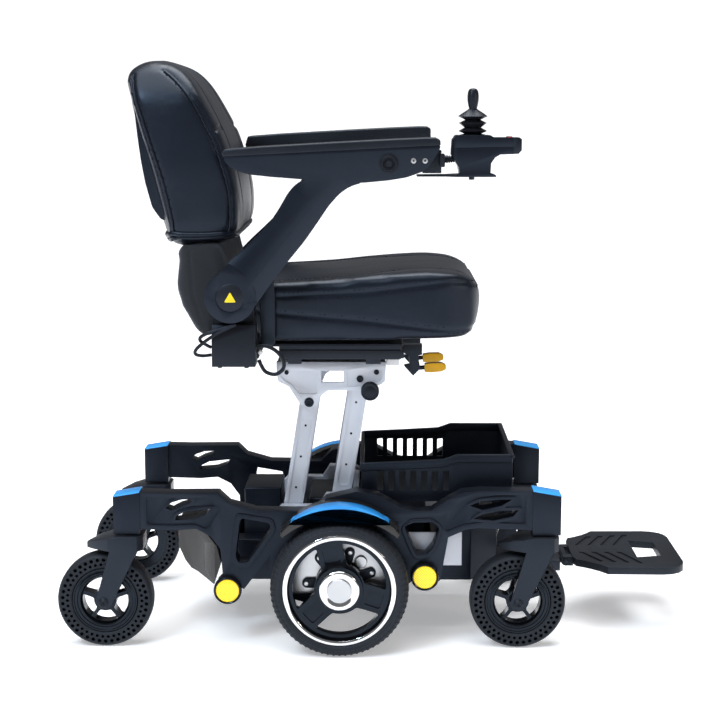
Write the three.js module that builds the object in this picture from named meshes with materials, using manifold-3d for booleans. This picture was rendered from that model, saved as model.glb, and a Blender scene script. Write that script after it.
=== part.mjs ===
// Power wheelchair: six-wheel base, parallel-link seat lift, folding backrest and arms.
// Millimetres. +X is forward, +Y is the user's left, +Z is up, and Z = 0 is the floor.
import * as THREE from 'three';
import { mergeVertices } from 'three/addons/utils/BufferGeometryUtils.js';
import Module from 'manifold-3d';

const wasm = await Module();
wasm.setup();

// ---- driving dimensions ----
const GAP = 0.3;                       // between pieces that touch
const RIGHT = -1;
const LEFT = 1;

const DRIVE = { x: -67, r: 127, y: 262, half: 28, rimR: 104, capR: 37, shaftR: 10, sides: 32 };
const MOTOR = { r: 34, flangeR: 45 };
const CASTER = { r: 89, y: 205, half: 23, rimR: 62, axleR: 5, sides: 24 };
const FORK = { trail: 52, stemR: 10, half: 36 };
const STEM_X = { rear: -453, front: 315 };
const CROWN = { low: 187, top: 214 };
const FRAME = { inner: 190, outer: 226 };         // the side frame's two faces, from the middle
const POD = { inner: 181, outer: 229, bore: 11, boreTop: 262 };
const REFLECTOR = { r: 26, lugR: 24, outer: 240 };
const REFLECTOR_AT = { rear: [-275, 112], front: [90, 139] };

const TUB = { back: -292, front: 180, half: 128, low: 101, top: 180, nose: 233, noseHalf: 80, noseTop: 204 };
const BAY = { back: -270, front: 105, half: 80, floor: 111 };

const LINK = { width: 36, inner: 92, outer: 108, pinR: 8, holeR: 9.5, tubeR: 10, tubeAt: 0.51 };
const REAR_PIVOT = { low: [-165, 205], top: [-127, 446] };
const FRONT_PIVOT = { low: [-69, 250], top: [-31, 491] };
const RAIL = { inner: 112, outer: 135 };
const PLATE = { inner: 115, outer: 125, deckLow: 512, deckTop: 523 };
const KNOB = { at: [-12, 472], r: 17, shaftR: 5, holeR: 6.5 };

const SEAT = { back: -238, front: 198, half: 216, panLow: 559, panTop: 565 };
const ARM = { hub: [-259, 664], hubR: 46, inner: 240, outer: 286, wideInner: 227, pinR: 12 };
const MOUNT = { back: -294, front: -216, low: 538, top: 613, inner: 224.5, plate: 236, outer: 276 };
const STICK = { x: 168, y: -255, pivotZ: 930 };
const FOOT_HINGE = { x: 372, z: 115, pinR: 4.5, lugR: 9 };

// ---- materials ----
function material(color, roughness, metalness = 0) {
  return new THREE.MeshStandardMaterial({ color, roughness, metalness });
}
const MAT = {
  mouldedBlack: material(0x1b1d22, 0.5),
  forkBlack: material(0x23262c, 0.4),
  tyre: material(0x24262a, 0.9),
  rimBlack: material(0x141416, 0.35),
  chrome: material(0xd8dade, 0.12, 1),
  aluminium: material(0xd5d8de, 0.35, 1),
  darkSteel: material(0x17181b, 0.5, 0.4),
  coverGrey: material(0x3a3836, 0.3),
  reflector: material(0xffe600, 0.3),
  blue: material(0x2f9ee8, 0.35),
  leather: material(0x1f222a, 0.55),
  fabric: material(0x1a1b1d, 0.95),
  lever: material(0xe8a21a, 0.5),
  softRubber: material(0x0e0e10, 0.7),
};

// ---- solids ----
function facingOut(geometry) {
  const p = geometry.attributes.position;
  const index = geometry.index.array;
  const [a, b, c] = [new THREE.Vector3(), new THREE.Vector3(), new THREE.Vector3()];
  let volume = 0;
  for (let i = 0; i < index.length; i += 3) {
    a.fromBufferAttribute(p, index[i]);
    b.fromBufferAttribute(p, index[i + 1]);
    c.fromBufferAttribute(p, index[i + 2]);
    volume += a.dot(b.cross(c));
  }
  if (volume < 0) {
    for (let i = 0; i < index.length; i += 3) {
      [index[i], index[i + 1]] = [index[i + 1], index[i]];
    }
  }
  return geometry;
}

function solid(geometry) {
  geometry.deleteAttribute('normal');
  geometry.deleteAttribute('uv');
  const merged = facingOut(mergeVertices(geometry, 1e-4));
  return new wasm.Manifold(new wasm.Mesh({
    numProp: 3,
    vertProperties: new Float32Array(merged.attributes.position.array),
    triVerts: new Uint32Array(merged.index.array),
  }));
}

const join = (first, ...rest) => rest.reduce((a, b) => a.add(b), first);
const cut = (first, ...rest) => rest.reduce((a, b) => a.subtract(b), first);
const vectors = (points) => points.map(([a, b]) => new THREE.Vector2(a, b));

function shapeOf(outline, holes) {
  const points = vectors(outline);
  const shape = new THREE.Shape(THREE.ShapeUtils.isClockWise(points) ? points.reverse() : points);
  shape.holes = holes.map((hole) => new THREE.Path(vectors(hole)));
  return shape;
}

// an outline in X and Z, from one Y to another
function sidePlate(outline, y0, y1, holes = []) {
  const [low, high] = [Math.min(y0, y1), Math.max(y0, y1)];
  const g = new THREE.ExtrudeGeometry(shapeOf(outline, holes), { depth: high - low, bevelEnabled: false });
  g.rotateX(Math.PI / 2);
  g.translate(0, high, 0);
  return solid(g);
}

// an outline in X and Y, from one Z to another
function planPlate(outline, low, high, holes = []) {
  const g = new THREE.ExtrudeGeometry(shapeOf(outline, holes), { depth: high - low, bevelEnabled: false });
  g.translate(0, 0, low);
  return solid(g);
}

// an outline in Y and Z, from one X to another
function endPlate(outline, low, high) {
  const g = new THREE.ExtrudeGeometry(shapeOf(outline, []), { depth: high - low, bevelEnabled: false });
  g.rotateZ(Math.PI / 2);
  g.rotateY(Math.PI / 2);
  g.translate(low, 0, 0);
  return solid(g);
}

function box(x, y, z) {
  const [x0, x1] = [Math.min(...x), Math.max(...x)];
  const [y0, y1] = [Math.min(...y), Math.max(...y)];
  const g = new THREE.BoxGeometry(x1 - x0, y1 - y0, z[1] - z[0]);
  g.translate((x0 + x1) / 2, (y0 + y1) / 2, (z[0] + z[1]) / 2);
  return solid(g);
}

// a round bar along Y, centred on [x, z]
function crossBar([x, z], r, y0, y1, sides = 12) {
  const g = new THREE.CylinderGeometry(r, r, Math.abs(y1 - y0), sides);
  g.translate(x, (y0 + y1) / 2, z);
  return solid(g);
}

// an upright round bar, centred on [x, y]
function post([x, y], r, low, high, sides = 16) {
  const g = new THREE.CylinderGeometry(r, r, high - low, sides);
  g.rotateX(Math.PI / 2);
  g.translate(x, y, (low + high) / 2);
  return solid(g);
}

// a profile of [radius, distance outwards] turned about a wheel's axle
function wheelTurn(profile, sides, [x, z], y, side) {
  const g = new THREE.LatheGeometry(vectors([...profile, profile[0]]), sides);
  if (side < 0) g.rotateX(Math.PI);
  g.rotateY(Math.PI);
  g.translate(x, side * y, z);
  return solid(g);
}

// a profile of [radius, height] turned about an upright axis
function uprightTurn(profile, sides, [x, y]) {
  const g = new THREE.LatheGeometry(vectors([...profile, profile[0]]), sides);
  g.rotateX(Math.PI / 2);
  g.translate(x, y, 0);
  return solid(g);
}

function tube(points, r, sides, steps) {
  const path = new THREE.CatmullRomCurve3(points.map((p) => new THREE.Vector3(...p)));
  const ring = Array.from({ length: sides }, (_, i) => {
    const turn = (2 * Math.PI * i) / sides;
    return [r * Math.cos(turn), r * Math.sin(turn)];
  });
  const options = { steps, extrudePath: path, bevelEnabled: false };
  return solid(new THREE.ExtrudeGeometry(shapeOf(ring, []), options));
}

function arc([x, z], r, from, to, count) {
  return Array.from({ length: count + 1 }, (_, i) => {
    const turn = THREE.MathUtils.degToRad(from + ((to - from) * i) / count);
    return [x + r * Math.cos(turn), z + r * Math.sin(turn)];
  });
}

const mirrored = (half) => [...half, ...half.map(([x, y]) => [x, -y]).reverse()];

const model = new THREE.Group();
function add(name, shape, finish) {
  const { vertProperties, triVerts } = shape.getMesh();
  const g = new THREE.BufferGeometry();
  g.setAttribute('position', new THREE.BufferAttribute(new Float32Array(vertProperties), 3));
  g.setIndex(new THREE.BufferAttribute(new Uint32Array(triVerts), 1));
  const mesh = new THREE.Mesh(g, finish);
  mesh.name = name;
  model.add(mesh);
}

// ---- base ----
function chassisFrame() {
  const plan = mirrored([[TUB.back, TUB.half], [TUB.front, TUB.half], [TUB.nose, TUB.noseHalf]]);
  const nose = planPlate(plan, TUB.low, TUB.noseTop).intersect(box([125, 300], [-200, 200], [0, 400]));
  let frame = join(planPlate(plan, TUB.low, TUB.top), nose);
  for (const side of [RIGHT, LEFT]) {
    frame = join(
      frame,
      box([-190, 55], [side * 120, side * (FRAME.inner - GAP)], [170, TUB.top]),
      box([-190, 55], [side * 137, side * (FRAME.inner - GAP)], [175, 205]),
      box([140, 200], [side * 40, side * 80], [200, 261 - GAP]),
    );
  }
  return cut(frame, box([BAY.back, BAY.front], [-BAY.half, BAY.half], [BAY.floor, 400]));
}

function liftBase() {
  const outline = [[-195, 180 + GAP], [-195, 232], [-180, 247], [-110, 247], [-95, 270], [-44, 270],
    [-34, 264], [-34, 180 + GAP]];
  let base = box([-45, -34], [-(RAIL.inner + 2), RAIL.inner + 2], [250 + GAP, 262]);
  for (const side of [RIGHT, LEFT]) {
    base = join(
      base,
      sidePlate(outline, side * RAIL.inner, side * RAIL.outer),
      crossBar(REAR_PIVOT.low, LINK.pinR, side * 90, side * (RAIL.inner + 2)),
      crossBar(FRONT_PIVOT.low, LINK.pinR, side * 90, side * (RAIL.inner + 2)),
    );
  }
  return base;
}

function batteryPack() {
  return box([-130, 95], [-(BAY.half - 1), BAY.half - 1], [BAY.floor + GAP, 250]);
}

function liftGearmotor() {
  return join(
    box([-256, -136], [-(BAY.half - 1), BAY.half - 1], [BAY.floor + GAP, 222]),
    box([-256, -185], [-60, 60], [220, 265]),
  );
}

function rearCover() {
  const side = [[-383, 203], [-339, 202], [-303, 173], [-295, 140], [-309, 96], [-359, 112], [-371, 124],
    [-385, 150]];
  const plan = [[-385, 68], [-345, 98], [-307, 148], [-292.5, 150]];
  const inside = [[-375, 193], [-344, 192], [-311, 165], [-303, 140], [-316, 108], [-353, 120],
    [-363, 130], [-375, 152]];
  const insidePlan = [[-377, 60], [-343, 88], [-307, 140], [-250, 140]];
  const outer = sidePlate(side, -200, 200).intersect(planPlate(mirrored(plan), 0, 300));
  const hollow = sidePlate(inside, -200, 200).intersect(planPlate(mirrored(insidePlan), 0, 300));
  const doorway = box([-330, -280], [-118, 118], [118, 172]);
  return cut(outer, hollow, doorway);
}

const REAR_ARM_TOP = [[-437, 295], [-387, 294], [-291, 295], [-271, 276], [-222, 262], [-149, 261]];
const FRONT_ARM_TOP = [[-116, 262], [-93, 285], [-37, 298], [3, 291], [45, 268], [73, 262], [102, 263],
  [130, 282], [158, 297], [189, 300], [289, 299]];
const FRONT_ARM_LOW = [[289, 226], [189, 230], [166, 227], [133, 212], [119, 131], [104, 117]];
const BELLY = [[66, 128], [30, 96], [-20, 82], [-115, 82], [-165, 96], [-196, 116], [-196, 179],
  [-214, 153], [-245, 112]];
const REAR_ARM_LOW = [[-285, 128], [-285, 143], [-288, 188], [-306, 213], [-333, 227], [-370, 224],
  [-437, 226]];
const FRAME_HOLES = [
  [[-249, 248], [-197, 239], [-194, 226], [-239, 163], [-254, 163], [-260, 175], [-252, 238]],
  [[-389, 266], [-378, 276], [-360, 282], [-340, 283], [-343, 276], [-363, 270], [-378, 262]],
  [[-371, 243], [-369, 251], [-351, 260], [-306, 265], [-314, 254], [-336, 246]],
  [[52, 233], [68, 240], [104, 241], [116, 230], [105, 195], [91, 179], [74, 180], [65, 201]],
  [[172, 272], [190, 280], [226, 284], [250, 284], [230, 272], [196, 264]],
  [[178, 247], [196, 256], [226, 262], [262, 264], [252, 252], [216, 244]],
];
const POD_OUTLINE = {
  rear: [[-485, 217], [-485, 287], [-436, 295], [-436, 217]],
  front: [[288, 217], [288, 299], [340, 290], [340, 217]],
};

function sideFrame(side) {
  const outline = [...REAR_ARM_TOP, ...FRONT_ARM_TOP, ...FRONT_ARM_LOW, ...BELLY, ...REAR_ARM_LOW];
  let frame = sidePlate(outline, side * FRAME.inner, side * FRAME.outer, FRAME_HOLES);
  frame = frame.subtract(crossBar([DRIVE.x, DRIVE.r], MOTOR.r + 1, side * 180, side * 240, 24));
  for (const end of ['rear', 'front']) {
    frame = join(
      frame,
      sidePlate(POD_OUTLINE[end], side * POD.inner, side * POD.outer),
      crossBar(REFLECTOR_AT[end], REFLECTOR.lugR, side * FRAME.inner, side * FRAME.outer),
    );
    frame = frame.subtract(post([STEM_X[end], side * CASTER.y], POD.bore, 200, POD.boreTop));
  }
  return frame;
}

function fender(side) {
  const outer = arc([-66, 148], 138, 142, 38, 16);
  const inner = arc([-66, 103], 161, 49.5, 130.5, 12);
  return sidePlate([...outer, ...inner], side * (FRAME.outer + GAP), side * 286);
}

function motor(side) {
  const axle = [DRIVE.x, DRIVE.r];
  return join(
    crossBar(axle, MOTOR.r, side * (TUB.half + GAP), side * 230, 20),
    crossBar(axle, MOTOR.flangeR, side * (FRAME.outer + GAP), side * 238, 20),
    crossBar(axle, DRIVE.shaftR, side * 236, side * 281, 16),
  );
}

function reflector(side, end) {
  return crossBar(REFLECTOR_AT[end], REFLECTOR.r, side * (FRAME.outer + GAP), side * REFLECTOR.outer, 16);
}

const BASKET = { back: -28, front: 256, half: 150, low: 261, wall: 4, slots: 7, pitch: 20.6, slot: 11 };
function basket() {
  const { back, front, half, low, wall } = BASKET;
  const side = [[back, low], [back, 326], [60, 332], [128, 338], [152, 350], [front, 350], [front, low]];
  const inside = box([back + wall, front - wall], [-(half - wall), half - wall], [low + wall, 400]);
  let shell = sidePlate(side, -half, half).subtract(inside);
  for (let i = 0; i < BASKET.slots; i++) {
    const x = 2 + i * BASKET.pitch;
    const opening = [[x, 283], [x, 319], [x + BASKET.slot, 320], [x + BASKET.slot, 283]];
    shell = shell.subtract(sidePlate(opening, -200, 200));
  }
  return shell;
}

function footplateBracket() {
  const { x, z, pinR, lugR } = FOOT_HINGE;
  return join(
    box([TUB.nose + GAP, 361], [-50, 50], [97, 117]),
    box([355, x], [-25, 25], [z - lugR, z + 2]),
    crossBar([x, z], lugR, -25, 25),
    crossBar([x, z], pinR, -49, 49),
  );
}

function footplate() {
  const { x, z, pinR, lugR } = FOOT_HINGE;
  const casterSide = arc([STEM_X.front, CASTER.y], 148, 300, 330, 4);
  const tip = arc([549, 88], 45, 90, 0, 4);
  const outline = mirrored([[x + 12, 56], ...casterSide, ...tip]);
  const handHole = [[510, -60], [510, 60], [558, 48], [558, -48]];
  let plate = planPlate(outline, 114, 128, [handHole]);
  for (const side of [RIGHT, LEFT]) {
    plate = join(
      plate,
      box([x, x + 15], [side * 26, side * 46], [z - lugR, z + lugR]),
      crossBar([x, z], lugR, side * 26, side * 46),
    ).subtract(crossBar([x, z], pinR + 0.7, side * 20, side * 60));
  }
  return plate;
}

// ---- wheels ----
function casterFork(side, end) {
  const x = STEM_X[end];
  const y = side * CASTER.y;
  const hub = [x - FORK.trail, CASTER.r];
  const crown = mirrored([[x - 85, 5], [x - 68, 20], [x - 42, FORK.half], [x + 12, FORK.half],
    [x + 22, 24]]).map(([a, b]) => [a, b + y]);
  const taper = [[x - 86, 186], [x - 86, 197], [x - 60, 207], [x - 20, CROWN.top + 1],
    [x + 23, CROWN.top + 1], [x + 23, 186]];
  const leg = [[x - 38, 190], [x + 14, 190], [x - 36, 88], [x - 42, 79], [x - 52, 75], [x - 62, 79],
    [x - 67, 90]];
  return join(
    planPlate(crown, CROWN.low, CROWN.top).intersect(sidePlate(taper, y - 60, y + 60)),
    sidePlate(leg, y - FORK.half, y - 28),
    sidePlate(leg, y + 28, y + FORK.half),
    crossBar(hub, CASTER.axleR, y - 30, y + 30, 12),
    post([x, y], FORK.stemR, CROWN.top - 1, POD.boreTop - 4),
  );
}

function casterTyre(side, end) {
  const { r, half, rimR } = CASTER;
  const profile = [[rimR, -half + 3], [r - 14, -half], [r - 3, -half + 6], [r, -8], [r, 8], [r - 3, half - 6],
    [r - 14, half], [rimR, half - 3]];
  return wheelTurn(profile, CASTER.sides, [STEM_X[end] - FORK.trail, r], CASTER.y, side);
}

function windows(count, hub, rim, spoke, at) {
  return Array.from({ length: count }, (_, i) => {
    const middle = 90 + ((i + 0.5) * 360) / count + at;
    const half = 180 / count;
    const clear = (r) => THREE.MathUtils.radToDeg(Math.asin(spoke / 2 / r));
    return [
      ...arc([0, 0], rim, middle - half + clear(rim), middle + half - clear(rim), 4),
      ...arc([0, 0], hub, middle + half - clear(hub), middle - half + clear(hub), 2),
    ];
  });
}

function casterRim(side, end) {
  const { r, rimR, axleR, y } = CASTER;
  const outer = rimR - GAP;
  const profile = [[axleR + 1.2, -22], [17, -22], [17, -15], [outer, -15], [outer, 15], [17, 15], [17, 22],
    [axleR + 1.2, 22]];
  const centre = [STEM_X[end] - FORK.trail, r];
  let rim = wheelTurn(profile, CASTER.sides, centre, y, side);
  for (const gap of windows(5, 21, 44, 9, 0)) {
    const outline = gap.map(([a, b]) => [a + centre[0], b + centre[1]]);
    rim = rim.subtract(sidePlate(outline, side * (y - 40), side * (y + 40)));
  }
  return rim;
}

function driveTyre(side) {
  const { x, r, y, half, rimR } = DRIVE;
  const profile = [[rimR, -half + 5], [rimR + 8, -half], [r - 7, -half + 2], [r, -half + 12], [r, half - 12],
    [r - 7, half - 2], [rimR + 8, half], [rimR, half - 5]];
  return wheelTurn(profile, DRIVE.sides, [x, r], y, side);
}

function driveRim(side) {
  const { x, r, y, rimR, shaftR } = DRIVE;
  const outer = rimR - GAP;
  const profile = [[shaftR + 0.8, -6], [94, -6], [94, -22], [outer, -22], [outer, 22], [94, 22], [94, 11],
    [42, 11], [42, 20], [shaftR + 0.8, 20]];
  let rim = wheelTurn(profile, DRIVE.sides, [x, r], y, side);
  for (const gap of windows(3, 47, 86, 48, 13)) {
    const outline = gap.map(([a, b]) => [a + x, b + r]);
    rim = rim.subtract(sidePlate(outline, side * (y - 40), side * (y + 40)));
  }
  return rim;
}

function hubCap(side) {
  const { x, r, y, capR } = DRIVE;
  const back = 20 + GAP;
  const profile = [[0, back], [capR, back], [capR, back + 3], [capR - 5, back + 6], [0, back + 6]];
  return wheelTurn(profile, 28, [x, r], y, side);
}

// ---- seat lift ----
function liftLink({ low, top }) {
  const tilt = THREE.MathUtils.radToDeg(Math.atan2(top[1] - low[1], top[0] - low[0]));
  const r = LINK.width / 2;
  const outline = [...arc(low, r, tilt + 90, tilt + 270, 8), ...arc(top, r, tilt - 90, tilt + 90, 8)];
  const across = [low[0] + (top[0] - low[0]) * LINK.tubeAt, low[1] + (top[1] - low[1]) * LINK.tubeAt];
  const round = (centre) => arc(centre, LINK.holeR, 0, 330, 11);
  return join(
    sidePlate(outline, -LINK.outer, -LINK.inner, [round(low), round(top)]),
    sidePlate(outline, LINK.inner, LINK.outer, [round(low), round(top)]),
    crossBar(across, LINK.tubeR, -LINK.inner - 1, LINK.inner + 1),
  );
}

function liftCarriage() {
  const outline = [[-188, 502], [-185, 486], [-165, 476], [-144, 443], [-126, 434], [-112, 440], [-104, 459],
    [-91, 469], [-35, 469], [7, 480], [16, 486], [18, PLATE.deckTop], [-188, PLATE.deckTop]];
  const window = [[-104, 484], [-104, 506], [-62, 506], [-62, 484]];
  let carriage = join(
    box([-187, 17], [-PLATE.outer, PLATE.outer], [PLATE.deckLow, PLATE.deckTop]),
    box([10, 44], [-40, 40], [PLATE.deckLow + 3, PLATE.deckTop]),
  );
  for (const side of [RIGHT, LEFT]) {
    const plate = sidePlate(outline, side * PLATE.inner, side * PLATE.outer, [window]);
    carriage = join(
      carriage,
      plate.subtract(crossBar(KNOB.at, KNOB.holeR, side * 110, side * 130)),
      crossBar(REAR_PIVOT.top, LINK.pinR, side * 90, side * (PLATE.inner + 2)),
      crossBar(FRONT_PIVOT.top, LINK.pinR, side * 90, side * (PLATE.inner + 2)),
    );
  }
  return carriage;
}

function lockKnob() {
  return join(
    crossBar(KNOB.at, KNOB.shaftR, -112, -141),
    crossBar(KNOB.at, KNOB.r, -140, -158, 20),
  );
}

const LATCH = [[50, 548], [87, 548], [87, 529], [79, 527], [84, 502], [70, 488], [53, 507], [63, 509],
  [62, 526], [50, 534]];
function slideRails() {
  let rails = join(
    box([-165, -140], [-150, 150], [PLATE.deckTop + GAP, 540]),
    box([-20, 8], [-150, 150], [PLATE.deckTop + GAP, 540]),
    box([20, 51], [-150, 150], [534, 548]),
  );
  for (const side of [RIGHT, LEFT]) {
    rails = join(
      rails,
      box([-181, 45], [side * 137, side * 162], [534, 551]),
      sidePlate(LATCH, side * 48, side * 72),
    );
  }
  return rails;
}

function releaseLever(side) {
  const outline = [[90, 497], [90, 508], [98, 512], [131, 511], [133, 504], [131, 497], [98, 494]];
  return sidePlate(outline, side * 50, side * 70);
}

// ---- seat ----
function seatFrame() {
  let frame = join(
    box([-216, 48], [-170, 170], [SEAT.panLow, SEAT.panTop]),
    box([-290, -214], [-(MOUNT.inner - GAP), MOUNT.inner - GAP], [545, SEAT.panTop]),
  );
  for (const side of [RIGHT, LEFT]) {
    frame = frame.add(box([-181, 45], [side * 139, side * 160], [551 + GAP, SEAT.panTop]));
  }
  return frame;
}

function seatCushion() {
  const { back, front, half } = SEAT;
  const side = [[back, 592], [back, 668], [back + 22, 684], [-92, 690], [-8, 699], [98, 708], [150, 704],
    [184, 690], [front, 668], [197, 632], [186, 588], [166, 573], [60, 571], [-170, 566], [back + 16, 569]];
  const plan = mirrored([[back, half - 30], [back + 20, half - 4], [-60, half], [130, half],
    [180, half - 20], [front, half - 60]]);
  return sidePlate(side, -half, half).intersect(planPlate(plan, 500, 800));
}

function armMount(side) {
  const { back, front, low, top, inner, plate, outer } = MOUNT;
  const round = arc(ARM.hub, 33, 170, 10, 6);
  const upright = [[back + 4, low], [back + 4, 664], ...round, [front - 4, 664], [front - 4, low]];
  return join(
    box([back, front], [side * inner, side * outer], [low, top]),
    sidePlate(upright, side * inner, side * plate),
    crossBar(ARM.hub, ARM.pinR, side * (plate - 2), side * 262),
  );
}

// ---- backrest ----
const BACK_FRONT = [[-247, 768], [-243, 814], [-252, 872], [-277, 952], [-328, 1043], [-358, 1073],
  [-407, 1086]];
const BACK_REAR = [[-425, 1085], [-454, 1071], [-462, 1053], [-440, 975], [-412, 880], [-390, 790],
  [-384, 745]];
function backrestCushion() {
  const side = [[-366, 737], [-284, 743], [-258, 755], ...BACK_FRONT, ...BACK_REAR];
  const front = [[-175, 736], [-203, 770], [-208, 900], [-196, 1020], [-160, 1075], [-120, 1090]];
  const outline = [...front, ...front.map(([y, z]) => [-y, z]).reverse()];
  return sidePlate(side, -210, 210).intersect(endPlate(outline, -500, -200));
}

function backrestFrame() {
  const outline = [[-362, 735], [-359, 711], [-363, 669], [-354, 632], [-325, 588], [-302, 578], [-273, 700],
    [-286, 741.5]];
  return sidePlate(outline, -196, 196);
}

// ---- arms ----
const STRUT = [[-299, 687], [-274, 713], [-185, 799], [-157, 844], [-132, 872], [-60, 880], [-23, 866],
  [-64, 848], [-102, 799], [-156, 728], [-221, 637]];
const ARM_BODY = [[-185, 874], [-225, 880], [-262, 899], [-268, 910], [110, 929.8], [102, 903], [58, 875],
  [-23, 866], [-132, 870]];
function arm(side) {
  const { hub, hubR, inner, outer, wideInner, pinR } = ARM;
  return join(
    crossBar(hub, hubR, side * inner, side * outer, 32),
    sidePlate(STRUT, side * inner, side * (outer - 1)),
    sidePlate(ARM_BODY, side * wideInner, side * outer),
  ).subtract(crossBar(hub, pinR + 1, side * (inner - 5), side * 265));
}

// the arm without the joystick carries the thicker pad
function armPad(side) {
  const extra = side === LEFT ? 12 : 0;
  const outline = [[-268, 910.4], [-271, 918], [-264, 924 + extra], [100, 943.6 + extra], [111, 940 + extra],
    [110, 930.2]];
  return sidePlate(outline, side * 228, side * 286);
}

function joystickHousing() {
  const { x, y } = STICK;
  const side = [[70, 876], [208, 876], [208, 879], [198, 882], [199, 900], [206, 910], [215, 915], [247, 916],
    [253, 922], [253, 941], [249, 944], [204, 944], [198, 948], [138, 948], [132, 940], [130, 914],
    [136, 904], [142, 894], [145, 880], [70, 879]];
  const plan = [[60, y - 16], [120, y - 16], [140, y - 32], [238, y - 29], [256, y - 16], [256, y + 16],
    [238, y + 29], [140, y + 32], [120, y + 16], [60, y + 16]];
  const shell = sidePlate(side, y - 40, y + 40).intersect(planPlate(plan, 800, 1000));
  return cut(shell, post([x, y], 22, 916, 960), post([232, y], 7, 939, 960));
}

function joystickGimbal() {
  const { x, y, pivotZ } = STICK;
  return uprightTurn([[13, pivotZ - 4], [18, pivotZ - 4], [18, pivotZ + 4], [13, pivotZ + 4]], 20, [x, y]);
}

function joystickStick() {
  const { x, y, pivotZ } = STICK;
  return uprightTurn([[0, pivotZ - 6], [6, pivotZ - 6], [6, pivotZ + 6], [4.5, pivotZ + 8], [4.5, 986],
    [8, 988], [9.5, 1000], [9.5, 1016], [7, 1022], [0, 1024]], 12, [x, y]);
}

function joystickBoot() {
  const { x, y } = STICK;
  return uprightTurn([[20, 948 + GAP], [27, 948 + GAP], [25, 957], [18, 969], [12, 985], [6, 985],
    [6, 979], [14, 964], [19, 955]], 12, [x, y]);
}

function powerButton() {
  return post([232, STICK.y], 6, 941.5, 946);
}

// ---- leads between the arm hub and the seat ----
const LEAD_R = 3;
function armCable() {
  const upper = [[-250, -280.5, 614.8], [-272, -280.5, 609], [-296, -280, 601], [-312, -278, 593],
    [-314, -274, 585], [-304, -269, 577], [-296, -265, 572]];
  const lower = [[-250, -280.5, 614.8], [-268, -280.5, 607], [-288, -280, 596], [-307, -278, 583],
    [-322, -274, 569], [-323, -269, 560], [-311, -264, 556.5], [-296, -260, 557.5]];
  return join(tube(upper, LEAD_R, 8, 12), tube(lower, LEAD_R, 8, 14));
}

function seatCable() {
  const points = [[-214.6, -250, 571], [-198, -250, 572], [-180, -251, 563], [-168, -252, 547],
    [-168, -252, 531], [-182, -251, 521], [-199, -250, 525], [-207, -250, 536], [-211.5, -250, 547]];
  return tube(points, 3.5, 8, 16);
}

// ---- the whole chair ----
add('chassis_frame', chassisFrame(), MAT.mouldedBlack);
add('lift_base', liftBase(), MAT.aluminium);
add('battery_pack', batteryPack(), MAT.darkSteel);
add('lift_gearmotor', liftGearmotor(), MAT.mouldedBlack);
add('rear_cover', rearCover(), MAT.coverGrey);
add('basket', basket(), MAT.mouldedBlack);
add('footplate_bracket', footplateBracket(), MAT.forkBlack);
add('footplate', footplate(), MAT.mouldedBlack);

for (const [name, side] of [['right', RIGHT], ['left', LEFT]]) {
  add(`side_frame_${name}`, sideFrame(side), MAT.mouldedBlack);
  add(`fender_${name}`, fender(side), MAT.blue);
  add(`motor_${name}`, motor(side), MAT.darkSteel);
  add(`drive_tyre_${name}`, driveTyre(side), MAT.tyre);
  add(`drive_rim_${name}`, driveRim(side), MAT.rimBlack);
  add(`hub_cap_${name}`, hubCap(side), MAT.chrome);
  add(`release_lever_${name}`, releaseLever(side), MAT.lever);
  add(`arm_mount_${name}`, armMount(side), MAT.darkSteel);
  add(`arm_${name}`, arm(side), MAT.mouldedBlack);
  add(`arm_pad_${name}`, armPad(side), MAT.leather);
  for (const end of ['rear', 'front']) {
    add(`reflector_${end}_${name}`, reflector(side, end), MAT.reflector);
    add(`caster_fork_${end}_${name}`, casterFork(side, end), MAT.forkBlack);
    add(`caster_tyre_${end}_${name}`, casterTyre(side, end), MAT.tyre);
    add(`caster_rim_${end}_${name}`, casterRim(side, end), MAT.rimBlack);
  }
}

add('lift_rear_link', liftLink(REAR_PIVOT), MAT.aluminium);
add('lift_front_link', liftLink(FRONT_PIVOT), MAT.aluminium);
add('lift_carriage', liftCarriage(), MAT.aluminium);
add('lock_knob', lockKnob(), MAT.softRubber);
add('slide_rails', slideRails(), MAT.darkSteel);
add('seat_frame', seatFrame(), MAT.darkSteel);
add('seat_cushion', seatCushion(), MAT.leather);
add('backrest_cushion', backrestCushion(), MAT.leather);
add('backrest_frame', backrestFrame(), MAT.fabric);
add('joystick_housing', joystickHousing(), MAT.mouldedBlack);
add('joystick_gimbal', joystickGimbal(), MAT.darkSteel);
add('joystick_stick', joystickStick(), MAT.softRubber);
add('joystick_boot', joystickBoot(), MAT.softRubber);
add('power_button', powerButton(), MAT.softRubber);
add('arm_cable', armCable(), MAT.softRubber);
add('seat_cable', seatCable(), MAT.softRubber);

export default model;
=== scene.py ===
"""Power wheelchair with a parallel-link seat lift: upholstery, moulded covers, wheels and finishes."""

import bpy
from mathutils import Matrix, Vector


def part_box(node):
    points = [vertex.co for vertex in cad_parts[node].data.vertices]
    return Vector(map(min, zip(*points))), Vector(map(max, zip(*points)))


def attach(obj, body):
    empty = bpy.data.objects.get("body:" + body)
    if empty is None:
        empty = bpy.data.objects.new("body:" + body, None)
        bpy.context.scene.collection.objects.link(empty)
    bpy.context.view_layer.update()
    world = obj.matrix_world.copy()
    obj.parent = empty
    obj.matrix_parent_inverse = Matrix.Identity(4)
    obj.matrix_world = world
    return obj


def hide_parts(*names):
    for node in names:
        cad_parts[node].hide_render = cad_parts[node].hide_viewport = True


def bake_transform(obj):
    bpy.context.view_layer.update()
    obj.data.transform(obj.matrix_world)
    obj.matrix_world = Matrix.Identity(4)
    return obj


bl_info = {
    "name": "Power Wheelchair",
    "version": (1, 0, 0),
    "blender": (4, 5, 0),
    "location": "View3D > Sidebar > Wheelchair",
    "description": "Builds the upholstery, covers, wheels and finishes of a power wheelchair",
    "category": "Object",
}

import math

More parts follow.
